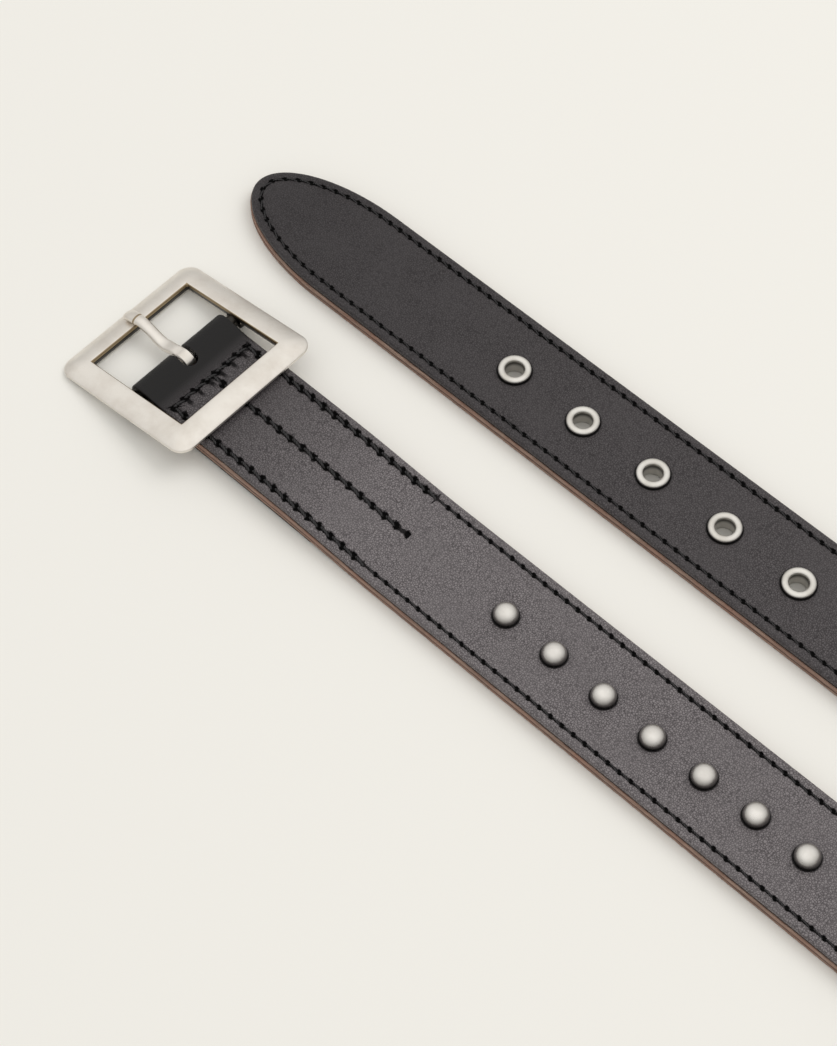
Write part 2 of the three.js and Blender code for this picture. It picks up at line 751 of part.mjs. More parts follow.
const laid = new THREE.Group();
laid.add(strap(), buckle());
laid.updateMatrixWorld(true);

// The origin goes to the middle of the belt's outline, on the table.
const extent = new THREE.Box3().setFromObject(laid, true);
const centre = extent.getCenter(new THREE.Vector3());
laid.position.set(-centre.x, -centre.y, -extent.min.z);

const belt = new THREE.Group();
belt.add(laid);

export default belt;
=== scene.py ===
# A studded leather belt with a square prong buckle, dressed round its CAD model.
# Both ends lie flat, side by side, and the middle stands on its edge in one loop.
# Sizes are millimetres until a mesh or a light is made; Blender and the frame are in metres.
# Places on the strap are (along, aside, up): from the centre bar towards the tip, from the middle
# line to the left, and out of the strap's face.

import json
import math

import bmesh
import bpy
import numpy as np
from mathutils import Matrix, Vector, kdtree


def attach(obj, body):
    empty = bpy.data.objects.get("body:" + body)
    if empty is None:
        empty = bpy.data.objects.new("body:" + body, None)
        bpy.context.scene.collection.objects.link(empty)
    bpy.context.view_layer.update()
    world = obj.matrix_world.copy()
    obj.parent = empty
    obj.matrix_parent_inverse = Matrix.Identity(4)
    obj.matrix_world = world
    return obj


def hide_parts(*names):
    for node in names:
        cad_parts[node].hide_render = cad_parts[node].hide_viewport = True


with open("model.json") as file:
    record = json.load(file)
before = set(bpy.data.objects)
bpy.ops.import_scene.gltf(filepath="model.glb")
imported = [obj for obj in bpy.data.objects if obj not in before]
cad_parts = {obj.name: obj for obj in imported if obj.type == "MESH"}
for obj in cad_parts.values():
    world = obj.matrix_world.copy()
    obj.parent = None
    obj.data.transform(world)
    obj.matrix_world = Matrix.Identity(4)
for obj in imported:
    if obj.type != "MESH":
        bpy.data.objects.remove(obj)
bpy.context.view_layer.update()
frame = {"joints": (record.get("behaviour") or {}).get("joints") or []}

MM = 0.001

# Strap, as in the CAD model
STRAP_WIDTH = 35
OUTER_THICK = 1.6
LINING_THICK = 3.0
PLY_GAP = 0.3
OUTER_INSET = 0.4
BAR_TO_MIDDLE_HOLE = 863.6
MIDDLE_HOLE_TO_TIP = 152.3
TIP_ROUNDING = 40
RUN_SPACING = 60.5
TIP_PAST_BAR = 30.7
TWIST_LENGTH = 140
TURN_LENGTH = 155
SWING_LENGTH = 28
EDGE_TURN = math.pi / 2

# Fold round the centre bar
BAR_DIAMETER = 4.0
FOLD_CLEARANCE = 0.3
TURN_BACK_LENGTH = 66
TURN_BACK_THICK = 1.4
TURN_BACK_END_THICK = 0.5
PARED_LENGTH = 21
FOLD_SETTLE = 9
LINING_START = 7.5
RISE_BEFORE_END = 16
RISE_AFTER_END = 26

# Eyelets and studs
EYELET_COUNT = 5
EYELET_PITCH = 25.4
EYELET_BORE = 5.9
EYELET_WALL = 0.5
EYELET_RIM_DIAMETER = 9.5
EYELET_RIM_HEIGHT = 1.0
EYELET_BASE_HEIGHT = 0.7
STUD_DIAMETER = 7.0
STUD_HEIGHT = 3.3
STUD_COUNT = 40
BAR_TO_FIRST_STUD = 121.8
LAST_STUD_TO_EYELET = 28
STUD_DRIFT = [(0, 0), (0.2, -0.2), (0.7, -0.7), (0.7, -1.2), (0.4, -0.7), (-0.1, -0.1), (-0.5, -0.2)]

# Buckle and prong
WINDOW_LENGTH = 37.4
WINDOW_SIDE_CLEARANCE = 1.1
FRAME_DRIFT = 0.7
FRAME_BAR_WIDTH = 7.3
FRAME_HEIGHT = 2.8
FRAME_OUTER_WALL = 0.9
FRAME_INNER_BEVEL = 0.5
FRAME_CORNER_RADIUS = 4.6
FRAME_WINDOW_RADIUS = 0.5
BAR_DROP = 0.3
LUG_LENGTH = 5.6
LUG_WIDTH = 4.2
EYE_WALL = 1.3
EYE_CLEARANCE = 0.3
PRONG_WIDTH = 3.6
PRONG_THICK = 2.2
PRONG_DRIFT = 0.3
PRONG_REST_GAP = 0.3
SLOT_SIDE_CLEARANCE = 0.75
SLOT_REACH = 4.8
SEAT_GAP = 0.3

# Stitching, which only the dressed belt has
STITCH_INSET = 2.8  # from the top leather's edge
FINE_PITCH = 3.9
HEAVY_PITCH = 4.3
HEAVY_END = 84  # distance from the bar at which the heavy stitching ends
CENTRE_ROW_ASIDE = 0.5
HEAVY_COUNT = 17
CENTRE_ROW_SKIP = 0.6  # the centre row ends this share of a stitch before the edge rows do

# Worked out from the sizes above
HALF_WIDTH = STRAP_WIDTH / 2
OUTER_HALF = HALF_WIDTH - OUTER_INSET
LINING_TOP = LINING_THICK + PLY_GAP
STRAP_THICK = LINING_TOP + OUTER_THICK
BAR_TO_TIP = BAR_TO_MIDDLE_HOLE + MIDDLE_HOLE_TO_TIP
FOLD_INNER = BAR_DIAMETER / 2 + FOLD_CLEARANCE
FOLD_OUTER = FOLD_INNER + OUTER_THICK
FOLD_ARC = math.pi / 2 * (FOLD_INNER + FOLD_OUTER) / 2  # half the fold, along the middle of the leather
BAR_HEIGHT = FOLD_OUTER
STACK_RISE = TURN_BACK_THICK + PLY_GAP
SLOT_HALF = PRONG_WIDTH / 2 + SLOT_SIDE_CLEARANCE
WINDOW_WIDTH = STRAP_WIDTH + 2 * WINDOW_SIDE_CLEARANCE
TIP_START = BAR_TO_TIP - TIP_ROUNDING
BAR_PLACE = np.array(frame["joints"][0]["pos_m"]) / MM - [0, 0, BAR_HEIGHT]


def eased(share):
    t = np.clip(share, 0.0, 1.0)
    return t * t * (3 - 2 * t)


# The way the strap takes

WALK_STEP = 1
WIDEST_BULGE = 1.3
HALVINGS = 40
LOOK_AROUND = 0.5
RUN_ON = 10  # the route is carried on this far past both ends


def route_rows(bulge):
    """Length and turn to the left of each stretch of the middle line."""
    buckle_run = (BAR_TO_TIP - TURN_LENGTH - 2 * SWING_LENGTH - TIP_PAST_BAR) / 2
    return [
        (buckle_run, 0),
        (SWING_LENGTH, -bulge),
        (TURN_LENGTH, math.pi + 2 * bulge),
        (SWING_LENGTH, -bulge),
        (buckle_run + TIP_PAST_BAR, 0),
    ]


def walk(rows):
    """Distance, x and y of points along the middle line, seen from above."""
    trail = [(0.0, 0.0, 0.0)]
    heading = 0.0
    for length, turn in rows:
        steps = 1 if turn == 0 else math.ceil(length / WALK_STEP)
        for i in range(1, steps + 1):
            along, x, y = trail[-1]
            midway = heading + turn * float(eased((i - 0.5) / steps))
            step = length / steps
            trail.append((along + step, x + step * math.cos(midway), y + step * math.sin(midway)))
        heading += turn
    return np.array(trail)


def bulge_for_spacing():
    low, high = 0.0, WIDEST_BULGE
    for _ in range(HALVINGS):
        middle = (low + high) / 2
        if walk(route_rows(middle))[-1, 2] > RUN_SPACING:
            low = middle
        else:
            high = middle
    return low


ROUTE_ROWS = route_rows(bulge_for_spacing())
ROUTE = walk(ROUTE_ROWS)
ROUTE = np.vstack([ROUTE[:1] - [RUN_ON, RUN_ON, 0], ROUTE, ROUTE[-1:] + [RUN_ON, -RUN_ON, 0]])
LOOP_START = ROUTE_ROWS[0][0]
LOOP_END = BAR_TO_TIP - ROUTE_ROWS[-1][0]
RISE_START = TURN_BACK_LENGTH - RISE_BEFORE_END
RISE_END = TURN_BACK_LENGTH + RISE_AFTER_END


def twist_at(along):
    up = eased((along - LOOP_START + TWIST_LENGTH) / TWIST_LENGTH)
    down = eased((along - LOOP_END) / TWIST_LENGTH)
    return EDGE_TURN * (up - down)


def middle_at(along):
    twist = twist_at(along)
    rise = STACK_RISE * (1 - eased((along - RISE_START) / (RISE_END - RISE_START)))
    height = rise + HALF_WIDTH * np.sin(twist) + (STRAP_THICK / 2) * np.cos(twist)
    x = np.interp(along, ROUTE[:, 0], ROUTE[:, 1])
    y = np.interp(along, ROUTE[:, 0], ROUTE[:, 2])
    return np.stack([x, y, height], axis=-1)


def full_turn(steps):
    return np.linspace(0, 2 * math.pi, steps, endpoint=False)


def unit(vectors):
    return vectors / np.linalg.norm(vectors, axis=-1, keepdims=True)


def strap_frame(along):
    """Origin in the middle of the underside, and the strap's across and outward directions."""
    forward = unit(middle_at(along + LOOK_AROUND) - middle_at(along - LOOK_AROUND))
    left = unit(np.cross([0.0, 0.0, 1.0], forward))
    up = np.cross(forward, left)
    cosine = np.cos(twist_at(along))[:, None]
    sine = np.sin(twist_at(along))[:, None]
    across = left * cosine + up * sine
    outward = up * cosine - left * sine
    return middle_at(along) - outward * STRAP_THICK / 2, across, outward


# A layer's table holds, for each distance, a point on its inner face and its two directions.
# The top leather's table holds its thickness too.

TABLE_STEP = 0.25


def lining_table():
    along = np.arange(0, BAR_TO_TIP + TABLE_STEP, TABLE_STEP)
    base, across, outward = strap_frame(along)
    return np.column_stack([along, base, across, outward])


def outer_table():
    """The top leather from its turned-back end, round the bar and on to the tip."""
    reach = np.arange(-TURN_BACK_LENGTH - FOLD_ARC, BAR_TO_TIP + FOLD_ARC, TABLE_STEP)
    along = np.maximum(np.abs(reach) - FOLD_ARC, 0)
    base, across, outward = strap_frame(along)
    drop = BAR_HEIGHT + FOLD_INNER - STACK_RISE - LINING_TOP
    base += outward * (LINING_TOP + drop * (1 - eased(along / FOLD_SETTLE)))[:, None]
    thick = np.full(len(reach), float(OUTER_THICK))

    under = reach < -FOLD_ARC
    settled = np.clip(along / FOLD_SETTLE, 0, 1)
    pared = np.clip((along - TURN_BACK_LENGTH + PARED_LENGTH) / PARED_LENGTH, 0, 1)
    thin = OUTER_THICK + (TURN_BACK_THICK - OUTER_THICK) * settled
    thin += (TURN_BACK_END_THICK - TURN_BACK_THICK) * pared
    thick[under] = thin[under]
    base[under] = np.column_stack([along, np.zeros_like(along), thick])[under]
    outward[under] = [0, 0, -1]

    folded = np.abs(reach) <= FOLD_ARC
    lift = reach / FOLD_ARC * math.pi / 2
    round_bar = np.column_stack([-np.cos(lift), np.zeros_like(lift), np.sin(lift)])
    outward[folded] = round_bar[folded]
    base[folded] = np.array([0, 0, BAR_HEIGHT]) + round_bar[folded] * FOLD_INNER
    across[under | folded] = [0, 1, 0]
    return np.column_stack([reach, base, across, outward, thick])


def put_on(table, along, aside, up):
    """Points in millimetres in the frame, from places on a layer."""
    columns = [np.interp(along, table[:, 0], table[:, i]) for i in range(1, 10)]
    base, across, outward = (np.stack(columns[i:i + 3], axis=-1) for i in (0, 3, 6))
    return BAR_PLACE + base + across * aside[..., None] + outward * up[..., None]


LINING = lining_table()
OUTER = outer_table()


# Places of eyelets and studs

def eyelet_places():
    middle = (EYELET_COUNT - 1) / 2
    return [BAR_TO_MIDDLE_HOLE + (middle - i) * EYELET_PITCH for i in range(EYELET_COUNT)]


def stud_places():
    pitch = (min(eyelet_places()) - LAST_STUD_TO_EYELET - BAR_TO_FIRST_STUD) / (STUD_COUNT - 1)
    places = []
    for i in range(STUD_COUNT):
        along, aside = STUD_DRIFT[i % len(STUD_DRIFT)]
        places.append((BAR_TO_FIRST_STUD + i * pitch + along, aside))
    return places


# Stitch rows: each is a list of needle holes (along, aside)

def tip_inset_line(inset):
    """Points of the tip's outline, moved inwards, from its right side round to its left."""
    length, half = TIP_ROUNDING - OUTER_INSET, OUTER_HALF
    angle = np.linspace(-math.pi / 2, math.pi / 2, 400)
    outline = np.column_stack([length * np.cos(angle), half * np.sin(angle)])
    normal = unit(np.column_stack([np.cos(angle) / length, np.sin(angle) / half]))
    return outline - inset * normal + [TIP_START, 0]


def spread_evenly(line, pitch):
    """Points a pitch apart along a line, with the pitch adjusted to fit."""
    travelled = np.concatenate([[0], np.cumsum(np.linalg.norm(np.diff(line, axis=0), axis=1))])
    count = max(1, round(travelled[-1] / pitch))
    wanted = np.linspace(0, travelled[-1], count + 1)
    return np.column_stack([np.interp(wanted, travelled, line[:, i]) for i in range(2)])


def straight_row(start, end, pitch):
    return spread_evenly(np.array([start, end], float), pitch)


EDGE_ROW = OUTER_HALF - STITCH_INSET
HEAVY_START = HEAVY_END - HEAVY_COUNT * HEAVY_PITCH


def fine_rows():
    right = straight_row((HEAVY_END, -EDGE_ROW), (TIP_START, -EDGE_ROW), FINE_PITCH)
    tip = spread_evenly(tip_inset_line(STITCH_INSET), FINE_PITCH)
    left = right[::-1] * [1, -1]
    return [np.vstack([right, tip[1:], left[1:]])]


def heavy_rows():
    centre_end = HEAVY_END - CENTRE_ROW_SKIP * HEAVY_PITCH
    rows = [
        straight_row((HEAVY_START, side * EDGE_ROW), (HEAVY_END, side * EDGE_ROW), HEAVY_PITCH)
        for side in (-1, 1)
    ]
    rows.append(straight_row((HEAVY_START, CENTRE_ROW_ASIDE), (centre_end, CENTRE_ROW_ASIDE), HEAVY_PITCH))
    rows.append(straight_row((HEAVY_START, -EDGE_ROW), (HEAVY_START, EDGE_ROW), HEAVY_PITCH))
    return rows


FINE_ROWS = fine_rows()
HEAVY_ROWS = heavy_rows()
SAMPLES_PER_STITCH = 6


def stitch_tree():
    """Close points on every stitch line in a search tree, and each point's stitch as numbers:
    start (2), end (2), how many stitches lie before it in its row, and 1 for heavy thread."""
    points, stitches = [], []
    for rows, heavy in ((FINE_ROWS, 0), (HEAVY_ROWS, 1)):
        for row in rows:
            for before, (start, end) in enumerate(zip(row[:-1], row[1:])):
                for i in range(SAMPLES_PER_STITCH):
                    points.append(start + (i + 0.5) / SAMPLES_PER_STITCH * (end - start))
                    stitches.append((*start, *end, before, heavy))
    tree = kdtree.KDTree(len(points))
    for i, (along, aside) in enumerate(points):
        tree.insert((along, aside, 0), i)
    tree.balance()
    return tree, np.array(stitches)


STITCH_TREE, STITCHES = stitch_tree()
FAR_AWAY = 100.0
SEAM_REACH = 2.4


def nearest_stitch(along, aside, wanted):
    """For each place: stitches passed in its row, distance to the left of the row, heavy or not."""
    passed = np.zeros(along.shape)
    offset = np.full(along.shape, FAR_AWAY)
    heavy = np.zeros(along.shape)
    places = np.column_stack([along[wanted], aside[wanted]])
    found = [STITCH_TREE.find((s, u, 0))[1] for s, u in places]
    stitch = STITCHES[found]
    line = stitch[:, 2:4] - stitch[:, 0:2]
    length = np.linalg.norm(line, axis=1)
    out = places - stitch[:, 0:2]
    passed[wanted] = stitch[:, 4] + (out * line).sum(axis=1) / length**2
    offset[wanted] = (line[:, 0] * out[:, 1] - line[:, 1] * out[:, 0]) / length
    heavy[wanted] = stitch[:, 5]
    return passed, offset, heavy


# Relief of the leather

EDGE_ROUNDING = 0.6
BAND_CROWN = 0.14
FINE_GROOVE = 0.24
HEAVY_GROOVE = 0.42
GROOVE_WIDTH = 0.7
HOLE_WIDTH = 0.7
GROOVE_BETWEEN_HOLES = 0.6  # share of its depth
PUCKER = 0.108
HEAVY_PUCKER = 0.8  # added share
PUCKER_PLACE = 1.15
PUCKER_WIDTH = 0.95
DIMPLE = 0.3
DIMPLE_REACH = 2.1
DIMPLE_UNDER = 0.5  # how far under the metal's edge the dip is full
FAR_FROM_METAL = 4.0
PILLOW_HEIGHT = 0.62
PILLOW_PAST_ROW = 2.6
PILLOW_REACH = 1.7
PILLOW_FADE = 1.5  # beside the edge rows
PILLOW_VALLEY = 0.25  # share of the height left between two pillows
LINING_GROOVE = 0.75
SWAYS = [(0.07, 9.0, 3), (0.05, 4.0, 5)]  # height, cell and seed of the leather's slow waves
SWAY_STARTS_OVER = 10
SWAY_EDGE = 1.5
NOISE_TABLE = (4096, 64)
NOISE_MIDDLE = (500, 32)


def smooth_noise(along, aside, cell, seed):
    """Seeded noise from -1 to 1 that changes smoothly over about one cell."""
    values = np.random.default_rng(seed).uniform(-1, 1, NOISE_TABLE)
    x, y = along / cell + NOISE_MIDDLE[0], aside / cell + NOISE_MIDDLE[1]
    column, row = np.floor(x).astype(int), np.floor(y).astype(int)
    fx, fy = eased(x - column), eased(y - row)

    def value(i, j):
        return values[(column + i) % values.shape[0], (row + j) % values.shape[1]]

    near = value(0, 0) * (1 - fx) + value(1, 0) * fx
    far = value(0, 1) * (1 - fx) + value(1, 1) * fx
    return near * (1 - fy) + far * fy


def edge_distance(along, aside, length, half):
    """Distance from a place to the edge of a layer whose tip is half an ellipse."""
    x = np.maximum(along - TIP_START, 0)
    level = np.sqrt((x / length) ** 2 + (aside / half) ** 2)
    slope = np.sqrt((x / length**2) ** 2 + (aside / half**2) ** 2) / np.maximum(level, TINY)
    rounded = (1 - level) / np.maximum(slope, TINY)
    return np.maximum(np.where(along > TIP_START, rounded, half - np.abs(aside)), 0)


def rounding_drop(distance, radius):
    inward = np.clip(radius - distance, 0, radius)
    return radius - np.sqrt(np.maximum(radius**2 - inward**2, 0))


def stitch_relief(passed, offset, heavy):
    """How far the stitches pull the leather down and push it up beside them."""
    pitch = np.where(heavy > 0, HEAVY_PITCH, FINE_PITCH)
    to_hole = np.abs(passed - np.round(passed)) * pitch
    hole = np.exp(-((to_hole / HOLE_WIDTH) ** 2))
    depth = np.where(heavy > 0, HEAVY_GROOVE, FINE_GROOVE)
    share = GROOVE_BETWEEN_HOLES + (1 - GROOVE_BETWEEN_HOLES) * hole
    groove = -depth * share * np.exp(-((offset / GROOVE_WIDTH) ** 2))
    beside = np.exp(-(((np.abs(offset) - PUCKER_PLACE) / PUCKER_WIDTH) ** 2))
    swell = PUCKER * (1 + HEAVY_PUCKER * heavy) * (1 - 2 * hole) * beside
    return groove + swell


def pillows(along, aside):
    """Swollen leather beyond the row of stitches across the strap."""
    past = np.exp(-(((along - HEAVY_START - PILLOW_PAST_ROW) / PILLOW_REACH) ** 2))
    between = np.cos(np.pi * (aside + EDGE_ROW) / HEAVY_PITCH + np.pi / 2) ** 2
    inside = eased((EDGE_ROW - np.abs(aside)) / PILLOW_FADE)
    return PILLOW_HEIGHT * past * (PILLOW_VALLEY + (1 - PILLOW_VALLEY) * between) * inside


def metal_distance(along, aside):
    """Distance to the edge of the nearest stud or eyelet, up to a few millimetres."""
    distance = np.full(along.shape, FAR_FROM_METAL)
    rows = along[:, 0]
    pieces = [(place, offset, STUD_DIAMETER / 2) for place, offset in stud_places()]
    pieces += [(place, 0.0, EYELET_RIM_DIAMETER / 2) for place in eyelet_places()]
    for place, offset, radius in pieces:
        near = np.abs(rows - place) < radius + FAR_FROM_METAL
        away = np.hypot(along[near] - place, aside[near] - offset) - radius
        distance[near] = np.minimum(distance[near], away)
    return distance


def dimples(distance):
    """The leather sinks a little under each stud and eyelet."""
    return -DIMPLE * (1 - eased((distance + DIMPLE_UNDER) / DIMPLE_REACH))


# Shells: closed skins made of rows of places

TINY = 1e-9
PATCH_MARGIN = 3
SHARP_ANGLE = math.radians(42)


class Skin:
    """Places of a closed loft, kept as (along, aside, up), and its faces."""

    def __init__(self, along, aside, up, top, bottom):
        self.along, self.aside, self.up = along, aside, up
        self.top, self.bottom = top, bottom  # ranges of columns on the outer and the inner face
        self.keep = np.ones((along.shape[0] - 1, along.shape[1]), bool)
        self.extra = []
        # Stitches passed, distance from the row, nearness of the row, distance from metal
        self.seam = np.tile([0.0, FAR_AWAY, 0.0, FAR_FROM_METAL], (*along.shape, 1))

    def drop_patch(self, columns, middle, stretch, radius):
        """Opens a hole with round ends in one face; returns its rim's vertices in order."""
        first, last = columns
        rows = np.flatnonzero(np.abs(self.along[:, first] - middle) < stretch + radius + PATCH_MARGIN)
        low, high = rows[0], rows[-1]
        s = self.along[low:high + 1, first:last] - middle
        u = self.aside[low:high + 1, first:last]
        centre_s = (s[:-1, :-1] + s[1:, :-1] + s[:-1, 1:] + s[1:, 1:]) / 4
        centre_u = (u[:-1, :-1] + u[1:, :-1] + u[:-1, 1:] + u[1:, 1:]) / 4
        past = np.maximum(np.abs(centre_s) - stretch, 0)
        inside = np.hypot(past, centre_u) < radius
        self.keep[low:high, first:last - 1] &= ~inside
        touched = np.zeros(s.shape, int)
        for i, j in ((0, 0), (1, 0), (0, 1), (1, 1)):
            touched[i:i + inside.shape[0], j:j + inside.shape[1]] += inside
        rim = np.argwhere((touched > 0) & (touched < 4))
        for i, j in rim:
            core = np.clip(s[i, j], -stretch, stretch)
            away = np.array([s[i, j] - core, u[i, j]])
            away *= radius / max(np.linalg.norm(away), TINY)
            self.along[low + i, first + j] = middle + core + away[0]
            self.aside[low + i, first + j] = away[1]
        order = sorted(rim.tolist(), key=lambda k: math.atan2(u[k[0], k[1]], s[k[0], k[1]]))
        return [(low + i) * self.along.shape[1] + first + j for i, j in order]

    def open_hole(self, middle, stretch, top_radius, bottom_radius):
        """Cuts a hole through both faces and joins its two rims by a wall of triangles."""
        upper = self.drop_patch(self.top, middle, stretch, top_radius)
        lower = self.drop_patch(self.bottom, middle, stretch, bottom_radius)
        flat_along, flat_aside = self.along.ravel(), self.aside.ravel()

        def turn(loop, k):
            rounds, index = divmod(k, len(loop))
            vertex = loop[index]
            return math.atan2(flat_aside[vertex], flat_along[vertex] - middle) + rounds * 2 * math.pi

        i = j = 0
        while i < len(upper) or j < len(lower):
            here, there = upper[i % len(upper)], lower[j % len(lower)]
            if j >= len(lower) or (i < len(upper) and turn(upper, i + 1) <= turn(lower, j + 1)):
                self.extra.append((here, upper[(i + 1) % len(upper)], there))
                i += 1
            else:
                self.extra.append((here, lower[(j + 1) % len(lower)], there))
                j += 1

    def faces(self):
        rows, count = self.along.shape
        index = np.arange(rows * count).reshape(rows, count)
        after = np.roll(index, -1, axis=1)
        quads = np.stack([index[:-1], after[:-1], after[1:], index[1:]], axis=-1)[self.keep]
        ends = [tuple(index[0].tolist()), tuple(index[-1][::-1].tolist())]
        return quads.tolist() + self.extra + ends


def closed_mesh(name, points, faces, facts=None):
    """A mesh in metres with only its used vertices, its faces turned out, and facts for its shader."""
    used = np.unique(np.concatenate([np.array(face) for face in faces]))
    new_index = np.full(len(points), -1)
    new_index[used] = np.arange(len(used))
    mesh = bpy.data.meshes.new(name)
    mesh.from_pydata((points[used] * MM).tolist(), [], [new_index[list(face)].tolist() for face in faces])
    for key, values in (facts or {}).items():
        attribute = mesh.attributes.new(key, "FLOAT_VECTOR", "POINT")
        attribute.data.foreach_set("vector", values[used].astype(np.float32).ravel())
    finish_mesh(mesh)
    return mesh


def finish_mesh(mesh):
    """Turns the faces out and shades the mesh, smooth but for its sharp edges."""
    work = bmesh.new()
    work.from_mesh(mesh)
    bmesh.ops.recalc_face_normals(work, faces=work.faces)
    work.to_mesh(mesh)
    work.free()
    mesh.shade_smooth()
    mesh.set_sharp_from_angle(angle=SHARP_ANGLE)


def add_piece(name, mesh, body, material, nodes=()):
    """A piece of the belt that rides on a body and may replace CAD nodes."""
    piece = bpy.data.objects.new(name, mesh)
    bpy.context.scene.collection.objects.link(piece)
    mesh.materials.clear()
    mesh.materials.append(material)
    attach(piece, body)
    if nodes:
        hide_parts(*nodes)
    return piece


# Leather layers

# Lines across a layer: distances from its edge, or from its middle line
TOP_LINES = [0, 0.12, 0.3, 0.6, 1.0, 1.5, 1.95, 2.4, 2.8, 3.2, 3.65, 4.3, 5.3, 6.5, 7.8, 9.1, 10.4,
             11.6, 12.6, 13.5, 14.55, 15.3, 16.0, 16.6]
UNDER_LINES = [8.0, 4.6, SLOT_HALF, 1.3]
LINING_EDGE_LINES = [0.2, 0.7]
LINING_TOP_LINES = [11, 6, 3.7, 2.4, 1.2]
LINING_SEAM_LINES = [0.9, 0.45, 0, -0.45, -0.9]
LINING_BOTTOM_EDGE_LINES = [0.2, 0.9]
LINING_BOTTOM_LINES = [10, 6.5, 4.9, 3.6, 2.4, 1.2]
LINING_WALL_SHARES = [0.9, 0.65, 0.35, 0.1]
SIDE_LINE_SHARE = 0.45  # height of the top leather's side line
RELIEF_FROM = HEAVY_START - 4
SEAM_SEARCH = 3.2  # distance from an edge row
HEAVY_SEARCH = 3  # distance past the heavy stitching's end
LINING_SEAM_SEARCH = 2
LINING_ROW_STEP = 1.0
RAGGED = 0.05
RAGGED_LENGTH = 1.6
RAGGED_SEED = 11
EYELET_HOLE = EYELET_BORE / 2 + EYELET_WALL + SEAT_GAP
EYELET_POCKET = EYELET_RIM_DIAMETER / 2 + SEAT_GAP
FOLD_ROW_STEP = 0.5
TURN_BACK_ROW_STEP = 1.4
FOLD_ROWS_FROM = -12
ROWS_PER_STITCH = 5
TIP_ROW_ANGLES = 76
LINING_ROWS_PER_STITCH = 4


def mirrored(lines):
    """Lines from one side to the middle, and on to the other side."""
    return np.concatenate([lines, -np.array(lines[:-1])[::-1]])


def fine_stitches():
    return len(straight_row((HEAVY_END, 0), (TIP_START, 0), FINE_PITCH)) - 1


def tip_rows():
    """Angles of the rows on the tip, from its start to near its end."""
    return np.linspace(math.pi / 2, math.pi / 2 / TIP_ROW_ANGLES, TIP_ROW_ANGLES)[1:]


def outer_rows():
    """Distances of the top leather's rows, with each row's share of the full width."""
    fold_end = FOLD_ARC + HEAVY_START
    stretches = [
        np.arange(-TURN_BACK_LENGTH - FOLD_ARC, FOLD_ROWS_FROM, TURN_BACK_ROW_STEP),
        np.arange(FOLD_ROWS_FROM, fold_end - FOLD_ROW_STEP / 2, FOLD_ROW_STEP),
        FOLD_ARC + np.linspace(HEAVY_START, HEAVY_END, HEAVY_COUNT * ROWS_PER_STITCH, endpoint=False),
        FOLD_ARC + np.linspace(HEAVY_END, TIP_START, fine_stitches() * ROWS_PER_STITCH + 1),
    ]
    straight = np.concatenate(stretches)
    angles = tip_rows()
    length = TIP_ROUNDING - OUTER_INSET
    along = np.concatenate([straight, FOLD_ARC + TIP_START + length * np.cos(angles)])
    share = np.concatenate([np.ones(len(straight)), np.sin(angles)])
    return along, share


def top_leather_skin():
    rows, share = outer_rows()
    half = OUTER_HALF
    lines = mirrored([distance - half for distance in TOP_LINES] + [0.0])
    under = mirrored([half, *UNDER_LINES, 0])
    count = len(lines) + len(under) + 2
    along = np.repeat(rows[:, None], count, axis=1)
    aside = np.concatenate([lines, [half], under, [-half]])[None, :] * share[:, None]
    thick = np.interp(rows, OUTER[:, 0], OUTER[:, 10])[:, None]
    up = np.zeros(along.shape)

    top = slice(0, len(lines))
    s = along[:, top] - FOLD_ARC
    u = aside[:, top]
    edge = edge_distance(s, u, TIP_ROUNDING - OUTER_INSET, half)
    side_line = SIDE_LINE_SHARE * thick
    radius = np.minimum(EDGE_ROUNDING, side_line) * np.ones(edge.shape)
    height = thick - rounding_drop(edge, radius)
    on_top = s > RELIEF_FROM
    near_rows = (np.abs(edge - STITCH_INSET) < SEAM_SEARCH) | (s < HEAVY_END + HEAVY_SEARCH)
    seam = nearest_stitch(s, u, on_top & near_rows)
    pull = stitch_relief(*seam) + pillows(s, u)
    crown = BAND_CROWN * np.sin(np.pi * np.clip(edge / STITCH_INSET, 0, 1))
    sway = sum(size * smooth_noise(s, u, cell, seed) for size, cell, seed in SWAYS)
    fade = eased((s + FOLD_ARC) / SWAY_STARTS_OVER)
    height += on_top * (pull + crown) + fade * sway * eased(edge / SWAY_EDGE)
    metal = metal_distance(s, u)
    height += dimples(metal)
    up[:, top] = height
    up[:, [len(lines), -1]] = side_line
    skin = Skin(along, aside, up, (0, len(lines)), (len(lines) + 1, count - 1))
    nearness = eased((SEAM_REACH - np.abs(seam[1])) / SEAM_REACH)
    skin.seam[:, top] = np.stack([seam[0], seam[1], nearness, metal], axis=-1)
    slot_stretch = FOLD_ARC + SLOT_REACH - SLOT_HALF
    skin.open_hole(0, slot_stretch, SLOT_HALF, SLOT_HALF)
    for place in eyelet_places():
        skin.open_hole(place + FOLD_ARC, 0, EYELET_HOLE, EYELET_HOLE)
    return skin


